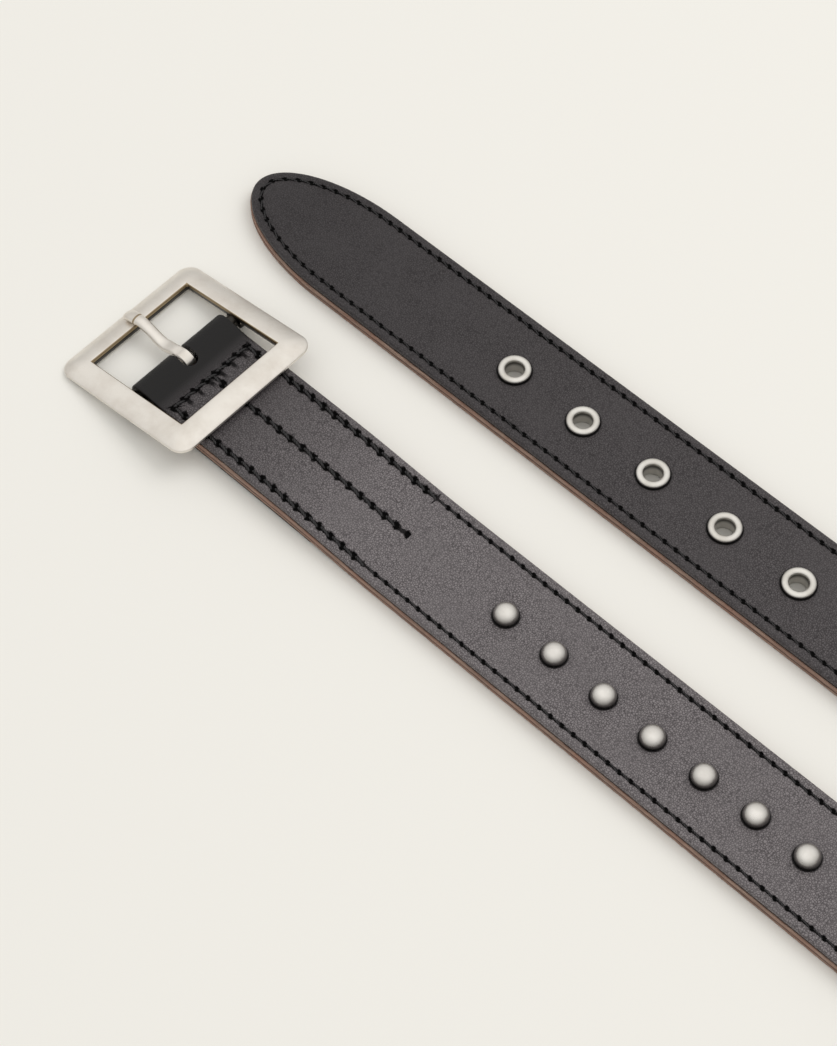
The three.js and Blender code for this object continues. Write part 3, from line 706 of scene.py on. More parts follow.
def lining_skin():
    rows = np.concatenate([
        np.arange(LINING_START, HEAVY_END, LINING_ROW_STEP),
        np.linspace(HEAVY_END, TIP_START, fine_stitches() * LINING_ROWS_PER_STITCH + 1),
    ])
    angles = tip_rows()
    share = np.concatenate([np.ones(len(rows)), np.sin(angles)])
    rows = np.concatenate([rows, TIP_START + TIP_ROUNDING * np.cos(angles)])
    half = HALF_WIDTH
    upper = mirrored([d - half for d in LINING_EDGE_LINES] + [-d for d in LINING_TOP_LINES] + [0])
    lower = [half - d for d in LINING_BOTTOM_EDGE_LINES] + [EDGE_ROW + d for d in LINING_SEAM_LINES]
    lower = mirrored(lower + LINING_BOTTOM_LINES + [0])
    wall = np.array(LINING_WALL_SHARES) * LINING_THICK
    count = len(upper) + len(lower) + 2 * len(wall)
    along = np.repeat(rows[:, None], count, axis=1)
    right, left = np.full(len(wall), half), np.full(len(wall), -half)
    aside = np.concatenate([upper, right, lower, left])[None, :] * share[:, None]
    up = np.zeros(along.shape)
    up[:, :len(upper)] = LINING_THICK
    walls = (slice(len(upper), len(upper) + len(wall)), slice(count - len(wall), count))
    up[:, walls[0]] = wall
    up[:, walls[1]] = wall[::-1]
    for side, columns in zip((1, -1), walls):
        noise = smooth_noise(along[:, columns], up[:, columns] * 2, RAGGED_LENGTH, RAGGED_SEED + side)
        aside[:, columns] += side * RAGGED * (noise - 1) * share[:, None]

    bottom = slice(len(upper) + len(wall), count - len(wall))
    s, u = along[:, bottom], aside[:, bottom]
    edge = edge_distance(s, u, TIP_ROUNDING, half)
    near_rows = np.abs(edge - STITCH_INSET - OUTER_INSET) < LINING_SEAM_SEARCH
    offset = nearest_stitch(s, u, near_rows)[1]
    up[:, bottom] += LINING_GROOVE * np.exp(-((offset / GROOVE_WIDTH) ** 2))
    skin = Skin(along, aside, up, (0, len(upper)), (bottom.start, bottom.stop))
    for place in eyelet_places():
        skin.open_hole(place, 0, EYELET_HOLE, EYELET_POCKET)
    return skin


def make_layer(name, skin, table, material, node):
    """A layer of leather, whose shader knows each point's place on the strap."""
    points = put_on(table, skin.along.ravel(), skin.aside.ravel(), skin.up.ravel())
    shift = FOLD_ARC if table is OUTER else 0
    places = np.column_stack([skin.along.ravel() - shift, skin.aside.ravel(), skin.up.ravel()])
    seam = skin.seam.reshape(-1, 4)
    facts = {"strap_place": places, "seam_place": seam[:, :3], "metal_place": seam[:, [3, 3, 3]]}
    mesh = closed_mesh(name, points, skin.faces(), facts)
    return add_piece(name, mesh, "strap", material, [node])


# Thread

THREAD_RINGS = 9
THREAD_SIDES = 8
STITCH_SLANT = 0.42
THREAD_DIP = 0.7
THREAD_PROUD = 0.1
THREAD_TAPER = 0.45
FINE_HALF_SIZE = (0.24, 0.26)  # width and height of the thread
HEAVY_HALF_SIZE = (0.4, 0.42)
SUNK_BELOW = HEAVY_HALF_SIZE[1] + THREAD_PROUD + 0.02


def strand(start, end, half_width, half_height):
    """One stitch as rings of (along, aside, up over the surface), and its twist coordinates."""
    line = end - start
    length = np.linalg.norm(line)
    sideways = np.array([-line[1], line[0]]) / length
    share = np.linspace(0, 1, THREAD_RINGS)
    arch = np.sin(np.pi * share) ** 0.5
    middle = start + share[:, None] * line
    middle = middle + sideways * (STITCH_SLANT * (1 - 2 * share))[:, None]
    height = -THREAD_DIP + (THREAD_DIP + THREAD_PROUD) * arch
    fullness = 1 - THREAD_TAPER * np.abs(2 * share - 1) ** 4
    angle = full_turn(THREAD_SIDES)
    out = np.cos(angle)[None, :] * (half_width * fullness)[:, None]
    ring = middle[:, None, :] + sideways * out[..., None]
    up = height[:, None] + np.sin(angle)[None, :] * (half_height * fullness)[:, None]
    twist = np.stack(np.broadcast_arrays(share[:, None] * length, out, 0), axis=-1)
    return np.dstack([ring, up]), twist


def ring_faces(rings, sides, closed=False, first=0):
    """Faces joining rings of points: round on themselves if closed, or else with two flat ends."""
    faces = []
    for i in range(rings if closed else rings - 1):
        for j in range(sides):
            k = (j + 1) % sides
            a, b = first + i * sides, first + (i + 1) % rings * sides
            faces.append((a + j, a + k, b + k, b + j))
    if not closed:
        last = first + (rings - 1) * sides
        faces.append(tuple(first + j for j in reversed(range(sides))))
        faces.append(tuple(last + j for j in range(sides)))
    return faces


def all_strands():
    strands = []
    for rows, half_size in ((FINE_ROWS, FINE_HALF_SIZE), (HEAVY_ROWS, HEAVY_HALF_SIZE)):
        for row in rows:
            strands += [strand(start, end, *half_size) for start, end in zip(row[:-1], row[1:])]
    return strands


def strands_mesh(name, table, strands, first_along, surface, outwards):
    """Strands laid on a layer's face at height `surface`; `outwards` is 1 on top and -1 below."""
    places = np.concatenate([place.reshape(-1, 3) for place, _ in strands])
    twist = np.concatenate([facts.reshape(-1, 3) for _, facts in strands])
    up = surface + outwards * places[:, 2]
    points = put_on(table, places[:, 0] + first_along, places[:, 1], up)
    faces = []
    for i in range(len(strands)):
        faces += ring_faces(THREAD_RINGS, THREAD_SIDES, first=i * THREAD_RINGS * THREAD_SIDES)
    return closed_mesh(name, points, faces, {"strap_place": twist})


def stitches_on_top():
    return strands_mesh("stitching", OUTER, all_strands(), FOLD_ARC, OUTER_THICK, 1)


def stitches_below():
    """Only past the turned-back leather, and sunk so that nothing reaches under the lining."""
    strands = [one for one in all_strands() if one[0][..., 0].min() > TURN_BACK_LENGTH]
    return strands_mesh("stitching_below", LINING, strands, 0, SUNK_BELOW, -1)


# Round pieces

def lathe(profile, sides, closed):
    """Points and faces of a turned piece round Z, from (radius, height) pairs."""
    points = []
    for radius, height in profile:
        points += [(radius * math.cos(a), radius * math.sin(a), height) for a in full_turn(sides)]
    return np.array(points), ring_faces(len(profile), sides, closed)


def seated(points, along, aside, height):
    """Moves a small piece's points to its place on the strap."""
    origin, across, outward = (v[0] for v in strap_frame(np.array([float(along)])))
    forward = np.cross(across, outward)
    place = BAR_PLACE + origin + across * aside + outward * height
    return place + points @ np.array([forward, across, outward])


def arc(centre, radius, start, end, steps):
    """(radius, height) points on an ellipse's arc, in degrees."""
    angles = np.radians(np.linspace(start, end, steps))
    return [(centre[0] + radius[0] * math.cos(a), centre[1] + radius[1] * math.sin(a)) for a in angles]


EYELET_TURNS = 72
STUD_TURNS = 48
ROLL_INWARD = 0.2
ROLL_HEIGHT = 0.78
FOOT_ROUNDING = 0.2
EYELET_LIFT = 0.02  # over the plane of the lining's underside
STUD_WAIST = 0.75
STUD_TUCK = (0.45, 0.95)


def eyelet_profile():
    """The closed section of an eyelet: rolled rim above, bore, and flat foot below."""
    bore, rim = EYELET_BORE / 2, EYELET_RIM_DIAMETER / 2
    tube = bore + EYELET_WALL
    seat = STRAP_THICK - DIMPLE + 0.12
    top = STRAP_THICK + SEAT_GAP + EYELET_RIM_HEIGHT
    side = (rim - bore + ROLL_INWARD) / 2
    roll = arc((rim - side, top - ROLL_HEIGHT), (side, ROLL_HEIGHT), 0, 180, 25)
    foot_centre = (rim - FOOT_ROUNDING, EYELET_BASE_HEIGHT - FOOT_ROUNDING)
    foot = arc(foot_centre, (FOOT_ROUNDING, FOOT_ROUNDING), 90, 0, 5)
    inside = [(bore, top - 1.6), (bore, 1.0), (bore + 0.05, 0.3), (bore + 0.3, EYELET_LIFT)]
    below = [(rim - FOOT_ROUNDING, EYELET_LIFT), (rim - 0.05, 0.1)]
    back = [(tube, EYELET_BASE_HEIGHT), (tube, seat)]
    return [(rim - 0.12, seat)] + roll + inside + below + foot[::-1] + back


def stud_profile():
    """A dome over its waist, tucked in below where it meets the leather."""
    radius = STUD_DIAMETER / 2
    dome = arc((0, STUD_WAIST), (radius, SEAT_GAP + STUD_HEIGHT - STUD_WAIST), 88.5, 0, 16)
    tuck = arc((radius - STUD_TUCK[0], STUD_WAIST), STUD_TUCK, 0, -75, 6)
    return dome + tuck[1:]


def make_eyelets(material):
    points, faces = lathe(eyelet_profile(), EYELET_TURNS, True)
    for i, along in enumerate(eyelet_places()):
        name = f"eyelet_ring_{i + 1}"
        mesh = closed_mesh(name, seated(points, along, 0, 0), faces, {"strap_place": points})
        add_piece(name, mesh, "strap", material, [f"eyelet_{i + 1}"])


def make_studs(material):
    points, faces = lathe(stud_profile(), STUD_TURNS, False)
    for i, (along, aside) in enumerate(stud_places()):
        name = f"stud_dome_{i + 1:02d}"
        mesh = closed_mesh(name, seated(points, along, aside, STRAP_THICK), faces, {"strap_place": points})
        add_piece(name, mesh, "strap", material, [f"stud_{i + 1:02d}"])


# Buckle. Its own origin is on the centre bar's axis, X towards the strap, Z out of its face.

def frame_tilt():
    """The frame's slope, with its bar in the fold and its far end on the surface."""
    reach = WINDOW_LENGTH / 2 + FRAME_BAR_WIDTH
    return math.atan2(BAR_DROP, reach) + math.asin(BAR_HEIGHT / math.hypot(reach, BAR_DROP))


def buckled(points):
    """From the buckle's own axes to the frame."""
    tilt = frame_tilt()
    x, y, z = np.asarray(points, float).T
    turned = np.column_stack([x * math.cos(tilt) - z * math.sin(tilt), y,
                              x * math.sin(tilt) + z * math.cos(tilt)])
    return BAR_PLACE + [0, 0, BAR_HEIGHT] + turned


CORNER_STEPS = 12
SIDE_STEPS = 14
FRAME_UNDERCUT = 0.3
FOOT_EASE = 0.2
LUG_BEVEL = 0.45
BAR_TURNS = 40


def rounded_outline(length, width, radius):
    """A rounded rectangle whose sides and corners are split the same way at any size."""
    points = []
    for corner in range(4):
        sign_x = 1 if corner in (0, 3) else -1
        sign_y = 1 if corner < 2 else -1
        centre = np.array([sign_x * (length / 2 - radius), sign_y * (width / 2 - radius)])
        for i in range(CORNER_STEPS + 1):
            angle = math.pi / 2 * (corner + i / CORNER_STEPS)
            points.append(centre + radius * np.array([math.cos(angle), math.sin(angle)]))
    outline = []
    for i, point in enumerate(points):
        outline.append(point)
        if (i + 1) % (CORNER_STEPS + 1) == 0:
            following = points[(i + 1) % len(points)]
            for k in range(1, SIDE_STEPS):
                outline.append(point + (following - point) * k / SIDE_STEPS)
    return np.array(outline)


def frame_section():
    """The rim's section as (share of its width out from the window, height over its underside)."""
    width, bevel = FRAME_BAR_WIDTH, FRAME_INNER_BEVEL
    slope = width - bevel
    crown = FRAME_HEIGHT - FRAME_OUTER_WALL
    inner = arc((bevel, FRAME_HEIGHT - bevel), (bevel, bevel), 180, 90, 6)
    section = [(FRAME_UNDERCUT, FOOT_EASE), (0.0, FRAME_HEIGHT - 2 * bevel)] + inner
    for share in np.linspace(0.06, 0.97, 16):
        section.append((bevel + slope * share, FRAME_OUTER_WALL + crown * (1 - share**2)))
    section += [(width - 0.04, FRAME_OUTER_WALL - 0.02), (width, FRAME_OUTER_WALL - 0.15)]
    section += [(width, FOOT_EASE), (width - FOOT_EASE, 0.0), (width / 2, 0.0)]
    section.append((FRAME_UNDERCUT + FOOT_EASE, 0.0))
    return [(out / width, up) for out, up in section]


def rim_parts():
    """The frame's rim as points and faces."""
    window = rounded_outline(WINDOW_LENGTH, WINDOW_WIDTH, FRAME_WINDOW_RADIUS)
    outside = rounded_outline(WINDOW_LENGTH + 2 * FRAME_BAR_WIDTH, WINDOW_WIDTH + 2 * FRAME_BAR_WIDTH,
                              FRAME_CORNER_RADIUS)
    section = frame_section()
    points = []
    for near, far in zip(window, outside):
        for share, up in section:
            x, y = near + share * (far - near)
            points.append((x, y, BAR_DROP + up))
    return np.array(points), ring_faces(len(window), len(section), closed=True)


def round_bar(radius, length, sides):
    """A round bar along Y as points and faces."""
    points = []
    for y in (-length / 2, length / 2):
        points += [(radius * math.cos(a), y, radius * math.sin(a)) for a in full_turn(sides)]
    return np.array(points), ring_faces(2, sides)


def soft_box(centre, size, bevel):
    """A box with rounded edges, as points and faces."""
    work = bmesh.new()
    bmesh.ops.create_cube(work, size=1)
    for vertex in work.verts:
        vertex.co = Vector([centre[i] + vertex.co[i] * size[i] for i in range(3)])
    bmesh.ops.bevel(work, geom=work.edges[:], offset=bevel, segments=3, affect="EDGES", profile=0.5)
    work.verts.index_update()
    points = np.array([list(vertex.co) for vertex in work.verts])
    faces = [tuple(vertex.index for vertex in face.verts) for face in work.faces]
    work.free()
    return points, faces


def united(name, parts):
    """Several closed parts, in the buckle's own axes, joined into one solid."""
    objects = []
    for i, (points, faces) in enumerate(parts):
        mesh = closed_mesh(f"{name}_part_{i}", buckled(points), faces)
        piece = bpy.data.objects.new(f"{name}_part_{i}", mesh)
        bpy.context.scene.collection.objects.link(piece)
        objects.append(piece)
    body = objects[0]
    for other in objects[1:]:
        union = body.modifiers.new("union", "BOOLEAN")
        union.operation = "UNION"
        union.solver = "MANIFOLD"
        union.object = other
    evaluated = body.evaluated_get(bpy.context.evaluated_depsgraph_get())
    mesh = bpy.data.meshes.new_from_object(evaluated)
    mesh.name = name
    for piece in objects:
        bpy.data.objects.remove(piece)
    finish_mesh(mesh)
    return mesh


def make_frame(material):
    low = -BAR_DIAMETER / 2
    high = BAR_DROP + FRAME_OUTER_WALL
    parts = [rim_parts()]
    for side in (-1, 1):
        centre = (0, side * (WINDOW_WIDTH / 2 + LUG_WIDTH / 2), (low + high) / 2)
        parts.append(soft_box(centre, (LUG_LENGTH, LUG_WIDTH, high - low), LUG_BEVEL))
    parts.append(round_bar(BAR_DIAMETER / 2, WINDOW_WIDTH + LUG_WIDTH, BAR_TURNS))
    parts = [(points + [0, FRAME_DRIFT, 0], faces) for points, faces in parts]
    mesh = united("frame_casting", parts)
    return add_piece("frame_casting", mesh, "buckle", material, ["buckle_frame"])


# Prong rows: shares as in the CAD model, from the eye to the tip.
# window, bar, under, thick, wide, aside, round
PRONG_ROWS = np.array([
    (0.02, 0.0, 0.71, 0.5, 0.97, 0.0, 0.3),
    (0.10, 0.0, 0.47, 0.87, 0.97, 0.0, 0.3),
    (0.18, 0.0, 0.36, 1.0, 0.98, 0.0, 0.4),
    (0.36, 0.0, 0.14, 1.0, 1.06, 0.2, 0.5),
    (0.52, 0.0, 0.16, 1.14, 1.0, 0.4, 0.8),
    (0.74, 0.0, 0.72, 1.2, 0.98, 0.7, 1.0),
    (0.92, 0.0, 1.0, 1.18, 1.0, 0.9, 1.0),
    (1.0, 0.22, 1.0, 1.05, 1.08, 1.0, 0.9),
    (1.0, 0.5, 0.88, 0.9, 1.12, 1.0, 0.8),
    (1.0, 0.74, 0.72, 0.7, 0.95, 1.0, 0.8),
])
PRONG_SUBSTEPS = 7
PRONG_TURNS = 28
SQUAREST = 0.35
EYE_BEVEL = 0.3
TIP_FULLNESS = 0.2  # substeps by which the tip's end stays open


def through(rows, substeps):
    """A smooth curve through the rows of a table (Catmull-Rom)."""
    padded = np.vstack([2 * rows[0] - rows[1], rows, 2 * rows[-1] - rows[-2]])
    made = []
    for i in range(1, len(padded) - 2):
        before, start, end, after = padded[i - 1:i + 3]
        for t in np.linspace(0, 1, substeps, endpoint=False):
            made.append(0.5 * (2 * start + (end - before) * t
                               + (2 * before - 5 * start + 4 * end - after) * t**2
                               + (3 * start - before - 3 * end + after) * t**3))
    made.append(rows[-1])
    return np.array(made)


def prong_shank():
    """The prong from its eye to its tip: rings between flat and round, along its bent line."""
    clear = BAR_DROP + FRAME_HEIGHT + PRONG_REST_GAP
    rows = through(PRONG_ROWS, PRONG_SUBSTEPS)
    window, bar, under, thick, wide, aside, roundness = rows.T
    x = -(window * WINDOW_LENGTH / 2 + bar * FRAME_BAR_WIDTH)
    z = under * clear + thick * PRONG_THICK / 2
    slope = np.arctan2(np.gradient(z), -np.gradient(x))
    angle = 2 * math.pi * (np.arange(PRONG_TURNS) + 0.5) / PRONG_TURNS
    points = []
    tip_from = len(rows) - PRONG_SUBSTEPS
    for i in range(len(rows)):
        shrink = 1.0
        if i > tip_from:
            shrink = math.sqrt(max(1 - ((i - tip_from) / (PRONG_SUBSTEPS + TIP_FULLNESS)) ** 2, 0))
        power = SQUAREST + (1 - SQUAREST) * min(max(roundness[i], 0), 1)
        for a in angle:
            up = math.copysign(abs(math.sin(a)) ** power, math.sin(a)) * thick[i] * PRONG_THICK / 2
            out = math.copysign(abs(math.cos(a)) ** power, math.cos(a)) * wide[i] * PRONG_WIDTH / 2
            points.append((x[i] + up * shrink * math.sin(slope[i]), aside[i] * PRONG_DRIFT + out * shrink,
                           z[i] + up * shrink * math.cos(slope[i])))
    return np.array(points), ring_faces(len(rows), PRONG_TURNS)


def prong_eye():
    """The ring round the bar."""
    inner = BAR_DIAMETER / 2 + EYE_CLEARANCE
    outer = inner + EYE_WALL
    half = PRONG_WIDTH / 2
    upper = [(outer, half - EYE_BEVEL), (outer - EYE_BEVEL, half), (inner, half)]
    profile = [(radius, -height) for radius, height in reversed(upper)] + upper
    points, faces = lathe(profile, BAR_TURNS, True)
    return points[:, [0, 2, 1]], faces


def make_prong(material):
    mesh = united("prong_tongue", [prong_eye(), prong_shank()])
    return add_piece("prong_tongue", mesh, "prong", material, ["prong"])


# Materials

class Recipe:
    """Builds a node material in few words; a socket given as a value is linked."""

    def __init__(self, name):
        self.material = bpy.data.materials.new(name)
        self.material.use_nodes = True
        self.tree = self.material.node_tree
        self.shader = self.tree.nodes["Principled BSDF"]

    def give(self, socket, value):
        if isinstance(value, bpy.types.NodeSocket):
            self.tree.links.new(value, socket)
        else:
            socket.default_value = value

    def node(self, kind, settings=(), inputs=()):
        """A new node of a kind, with its settings and inputs."""
        made = self.tree.nodes.new(kind)
        for key, value in dict(settings).items():
            setattr(made, key, value)
        for key, value in dict(inputs).items():
            self.give(made.inputs[key], value)
        return made

    def place(self, stretch=(1, 1, 1)):
        """Where a point lies on the strap, in millimetres, stretched for a texture."""
        return self.vector_maths("MULTIPLY", self.fact("strap_place"), stretch)

    def fact(self, name):
        return self.node("ShaderNodeAttribute", {"attribute_name": name}).outputs["Vector"]

    def own_place(self, stretch=(1000, 1000, 1000)):
        """Where a point lies in its piece, in millimetres."""
        return self.vector_maths("MULTIPLY", self.node("ShaderNodeTexCoord").outputs["Object"], stretch)

    def part(self, vector, axis):
        return self.node("ShaderNodeSeparateXYZ", inputs={0: vector}).outputs[axis]

    def maths(self, operation, a, b=0.0):
        return self.node("ShaderNodeMath", {"operation": operation}, {0: a, 1: b}).outputs[0]

    def sum(self, a, b):
        return self.maths("ADD", a, b)

    def minus(self, a, b):
        return self.maths("SUBTRACT", a, b)

    def times(self, a, b):
        return self.maths("MULTIPLY", a, b)

    def larger(self, a, b):
        return self.maths("MAXIMUM", a, b)

    def size(self, a):
        return self.maths("ABSOLUTE", a)

    def vector_maths(self, operation, a, b):
        return self.node("ShaderNodeVectorMath", {"operation": operation}, {0: a, 1: b}).outputs["Vector"]

    def noise(self, vector, scale, detail=2.0, roughness=0.5, output="Fac"):
        made = self.node("ShaderNodeTexNoise", inputs={
            "Vector": vector, "Scale": scale, "Detail": detail, "Roughness": roughness})
        return made.outputs[output]

    def cells(self, vector, scale):
        """Distance to the nearest border between cells."""
        made = self.node("ShaderNodeTexVoronoi", {"feature": "DISTANCE_TO_EDGE"},
                         {"Vector": vector, "Scale": scale})
        return made.outputs["Distance"]

    def spread(self, value, low, high, to_low=0.0, to_high=1.0, kind="LINEAR"):
        made = self.node("ShaderNodeMapRange", {"interpolation_type": kind}, {
            "Value": value, "From Min": low, "From Max": high, "To Min": to_low, "To Max": to_high})
        return made.outputs["Result"]

    def smooth(self, value, low, high, to_low=0.0, to_high=1.0):
        return self.spread(value, low, high, to_low, to_high, "SMOOTHSTEP")

    def blend(self, share, a, b):
        made = self.node("ShaderNodeMix", {"data_type": "RGBA"}, {0: share, 6: a, 7: b})
        return made.outputs[2]

    def warped(self, vector, scale, amount):
        """A vector shaken by noise, so that a pattern loses its straight lines."""
        shake = self.noise(vector, scale, output="Color")
        centred = self.vector_maths("SUBTRACT", shake, (0.5, 0.5, 0.5))
        moved = self.vector_maths("MULTIPLY", centred, (amount, amount, amount))
        return self.vector_maths("ADD", vector, moved)

    def bump(self, height, distance, strength=1.0, under=None):
        made = self.node("ShaderNodeBump", inputs={
            "Height": height, "Distance": distance, "Strength": strength})
        if under is not None:
            self.give(made.inputs["Normal"], under)
        return made.outputs["Normal"]

    def surface(self, **inputs):
        for key, value in inputs.items():
            self.give(self.shader.inputs[key.replace("_", " ")], value)


# Colours
LEATHER = (0.0255, 0.021, 0.0235, 1)
# painted sheen: the grey the buckle run shows where it catches the light
SHEEN_LEATHER = (0.215, 0.195, 0.203, 1)
GRAIN_SHADE = (0.009, 0.007, 0.008, 1)
BLACK = (0.004, 0.0036, 0.0038, 1)
# colour of the painted shade and shadow on the black leather
SHADE_BLACK = (0.001, 0.001, 0.001, 1)
BROWN = (0.19, 0.115, 0.088, 1)
PALE_BROWN = (0.4, 0.29, 0.235, 1)
RED_BROWN = (0.32, 0.19, 0.145, 1)
BROWN_SEAM = (0.04, 0.022, 0.018, 1)
# painted shade at the foot of the lining's cut edge
BROWN_FOOT_SHADE = (0.06, 0.04, 0.033, 1)
# painted shade in the hollows of the thread's twist
THREAD_HOLLOW_SHADE = (0.002, 0.002, 0.002, 1)
THREAD = (0.03, 0.028, 0.031, 1)
NICKEL = ((0.85, 0.81, 0.755, 1), (0.75, 0.7, 0.64, 1))  # fresh, then dull
EYELET_METAL = ((0.8, 0.78, 0.74, 1), (0.66, 0.63, 0.58, 1))
STUD_METAL = ((0.82, 0.795, 0.76, 1), (0.68, 0.655, 0.62, 1))
NICKEL_SHADE = (0.05, 0.047, 0.042, 1)
WALL_SHADE = (0.02, 0.016, 0.012, 1)
WALL_GOLD = (0.34, 0.26, 0.16, 1)
# painted half shade on the upper bore and the rim's foot
BORE_HALF_SHADE = (0.62, 0.6, 0.57, 1)
BORE_SHADE = (0.1, 0.093, 0.088, 1)
STUD_SHADE = (0.14, 0.134, 0.126, 1)

# Where the looks change: distances along the strap, or heights
ON_FOLD = (6.0, 10.5)
# where the painted sheen rises past the fold and the buckle, and where it fades towards the tip
SHEEN_BY_FOLD = (9.0, 14.0)
SHEEN_BY_BUCKLE = (30.0, 70.0)
SHEEN_FADES = (250.0, 1000.0)
THREADS_CHANGE = (0.8, 1.0)
# painted shade: black at the foot of the top leather's cut edge, over the gap between the plies
CUT_FOOT_SHADE = (0.32, 0.4)
# reach of the painted contact shade round the studs and eyelets
METAL_SHADE_REACH = (0.2, 0.7)
PILLOW_FOLD = 4.2
PLY_SEAM = 1.35
SEAM_SPREAD = (0.12, 0.4)
WALL_SPREAD = (0.28, 0.36)
WALL_GOLD_FROM = BAR_DROP + 1.75
BORE_SHADE_ENDS = (STRAP_THICK - 2.2, STRAP_THICK - 0.6)
RIM_STARTS = (STRAP_THICK - 0.3, STRAP_THICK + 0.7)
STUD_SHADE_ENDS = (0.5, 3.3)

# Heights of fine relief, in metres
GRAIN_HEIGHT = 0.00022
SEAM_DEPTH = 0.0006
PLY_HEIGHT = 0.00014


def pillow_fold_shade(r, along, aside, wobble):
    """Painted shade in the folds between the pillows beside the row across the strap."""
    across = r.maths("FLOORED_MODULO", r.sum(aside, EDGE_ROW - HEAVY_PITCH / 2), HEAVY_PITCH)
    from_fold = r.size(r.sum(r.minus(across, HEAVY_PITCH / 2), wobble))
    begins = r.spread(along, HEAVY_START - 0.5, HEAVY_START + 0.3)
    ends = r.spread(along, HEAVY_START + 2.2, HEAVY_START + PILLOW_FOLD, 1.0, 0.0)
    inside = r.spread(r.size(aside), EDGE_ROW - 0.6, EDGE_ROW, 1.0, 0.0)
    return r.times(r.smooth(from_fold, 0.25, 0.8, 0.9, 0.0), r.times(r.times(begins, ends), inside))


def stitch_shade_marks(r):
    """Painted shade in the needle holes and folds, and the painted shadow beside the thread."""
    seam = r.fact("seam_place")
    passed, offset = r.part(seam, 0), r.part(seam, 1)
    along, aside = r.part(r.place(), 0), r.part(r.place(), 1)
    near = r.spread(r.part(seam, 2), 0.05, 0.2)
    middle = r.maths("LESS_THAN", r.size(aside), HALF_WIDTH / 2)
    past_end = r.minus(along, r.sum(r.times(middle, HEAVY_PITCH), HEAVY_END))
    heavy = r.maths("LESS_THAN", past_end, 0.0)

    def by_thread(for_fine, for_heavy):
        return r.spread(heavy, 0, 1, for_fine, for_heavy)

    to_hole = r.minus(r.maths("FLOORED_MODULO", r.sum(passed, 0.5), 1.0), 0.5)
    to_hole = r.times(to_hole, by_thread(FINE_PITCH, HEAVY_PITCH))
    wobble = r.minus(r.noise(r.place(), 1.1, 3.0), 0.5)
    offset = r.sum(offset, r.times(wobble, by_thread(0.5, 1.5)))
    slanted = r.sum(to_hole, r.times(offset, 0.35))
    long_share = r.maths("DIVIDE", slanted, by_thread(0.88, 1.2))
    wide_share = r.maths("DIVIDE", offset, by_thread(0.74, 1.25))
    away = r.sum(r.maths("POWER", long_share, 2.0), r.maths("POWER", wide_share, 2.0))
    unmixed = r.spread(r.size(past_end), *THREADS_CHANGE)
    # painted shade in the needle holes
    hole = r.times(r.smooth(away, 0.6, 1.3, 1.0, 0.0), r.times(near, unmixed))
    # painted shadow beside the thread
    out = r.maths("DIVIDE", r.size(offset), by_thread(0.36, 0.6))
    line = r.times(r.smooth(out, 0.7, 1.3, 1.0, 0.0), near)
    return r.larger(hole, pillow_fold_shade(r, along, aside, wobble)), line


def black_leather():
    """Pebbled black leather with a grey painted sheen along the buckle run, smooth and blacker on the fold.
    """
    r = Recipe("black_leather")
    place = r.place()
    along = r.part(place, 0)
    shaken = r.warped(place, 0.9, 0.9)
    pebbles = r.smooth(r.cells(shaken, 1.6), 0.0, 0.3)
    clusters = r.smooth(r.cells(shaken, 0.6), 0.0, 0.25)
    fine = r.noise(place, 3.6, 3.0, 0.65)
    creases = r.noise(r.place((1.9, 0.45, 1.0)), 1.0, 3.0, 0.6)
    clouds = r.noise(place, 0.07, 3.0, 0.5)
    on_fold = r.smooth(along, *ON_FOLD, 1.0, 0.0)
    strength = r.times(r.spread(clouds, 0.36, 0.6, 0.8, 1.0), r.spread(on_fold, 0, 1, 1.0, 0.3))
    height = r.sum(r.times(pebbles, 0.6), r.times(clusters, 0.35))
    height = r.sum(height, r.sum(r.times(fine, 0.6), r.times(creases, 0.8)))
    height = r.times(height, strength)
    # painted sheen along the buckle run, greyer past the fold and fading towards the tip
    near_sheen = r.sum(r.spread(along, *SHEEN_BY_FOLD, 0.0, 0.42), r.spread(along, *SHEEN_BY_BUCKLE, 0.0, 0.58))
    sheen = r.times(near_sheen, r.spread(along, *SHEEN_FADES, 1.0, 0.05))
    colour = r.blend(r.times(sheen, r.spread(clouds, 0.3, 0.7, 0.8, 1.05)), LEATHER, SHEEN_LEATHER)
    colour = r.blend(on_fold, colour, BLACK)
    # painted shade in the grain's valleys, left out where the painted sheen lies
    valley = r.times(r.spread(r.sum(pebbles, r.times(fine, 0.6)), 0.15, 1.05, 0.95, 0.0), strength)
    colour = r.blend(valley, colour, r.blend(sheen, GRAIN_SHADE, LEATHER))
    hole, line = stitch_shade_marks(r)
    # painted shade at the foot of the top leather's side and on its underside
    foot = r.spread(r.part(place, 2), *CUT_FOOT_SHADE, 1.0, 0.0)
    # painted contact shade on the leather round the studs and eyelets
    metal_contact_shade = r.smooth(r.part(r.fact("metal_place"), 0), *METAL_SHADE_REACH, 0.9, 0.0)
    # all the painted shade and shadow on the leather, blended to black
    shade_marks = r.larger(r.larger(r.times(line, 0.9), r.larger(hole, foot)), metal_contact_shade)
    colour = r.blend(shade_marks, colour, SHADE_BLACK)
    roughness = r.spread(r.sum(clouds, r.times(valley, 0.2)), 0.3, 1.0, 0.36, 0.5)
    matt = r.larger(r.times(valley, 0.5), r.times(on_fold, 0.45))
    shine = r.spread(r.larger(shade_marks, matt), 0, 1, 0.5, 0.05)
    grain = r.bump(height, GRAIN_HEIGHT, 0.6)
    sunk = r.sum(r.times(hole, -0.8), r.times(line, -0.35))
    r.surface(Base_Color=colour, Roughness=roughness, Specular_IOR_Level=shine,
              Normal=r.bump(sunk, SEAM_DEPTH, 0.8, grain))
    return r.material


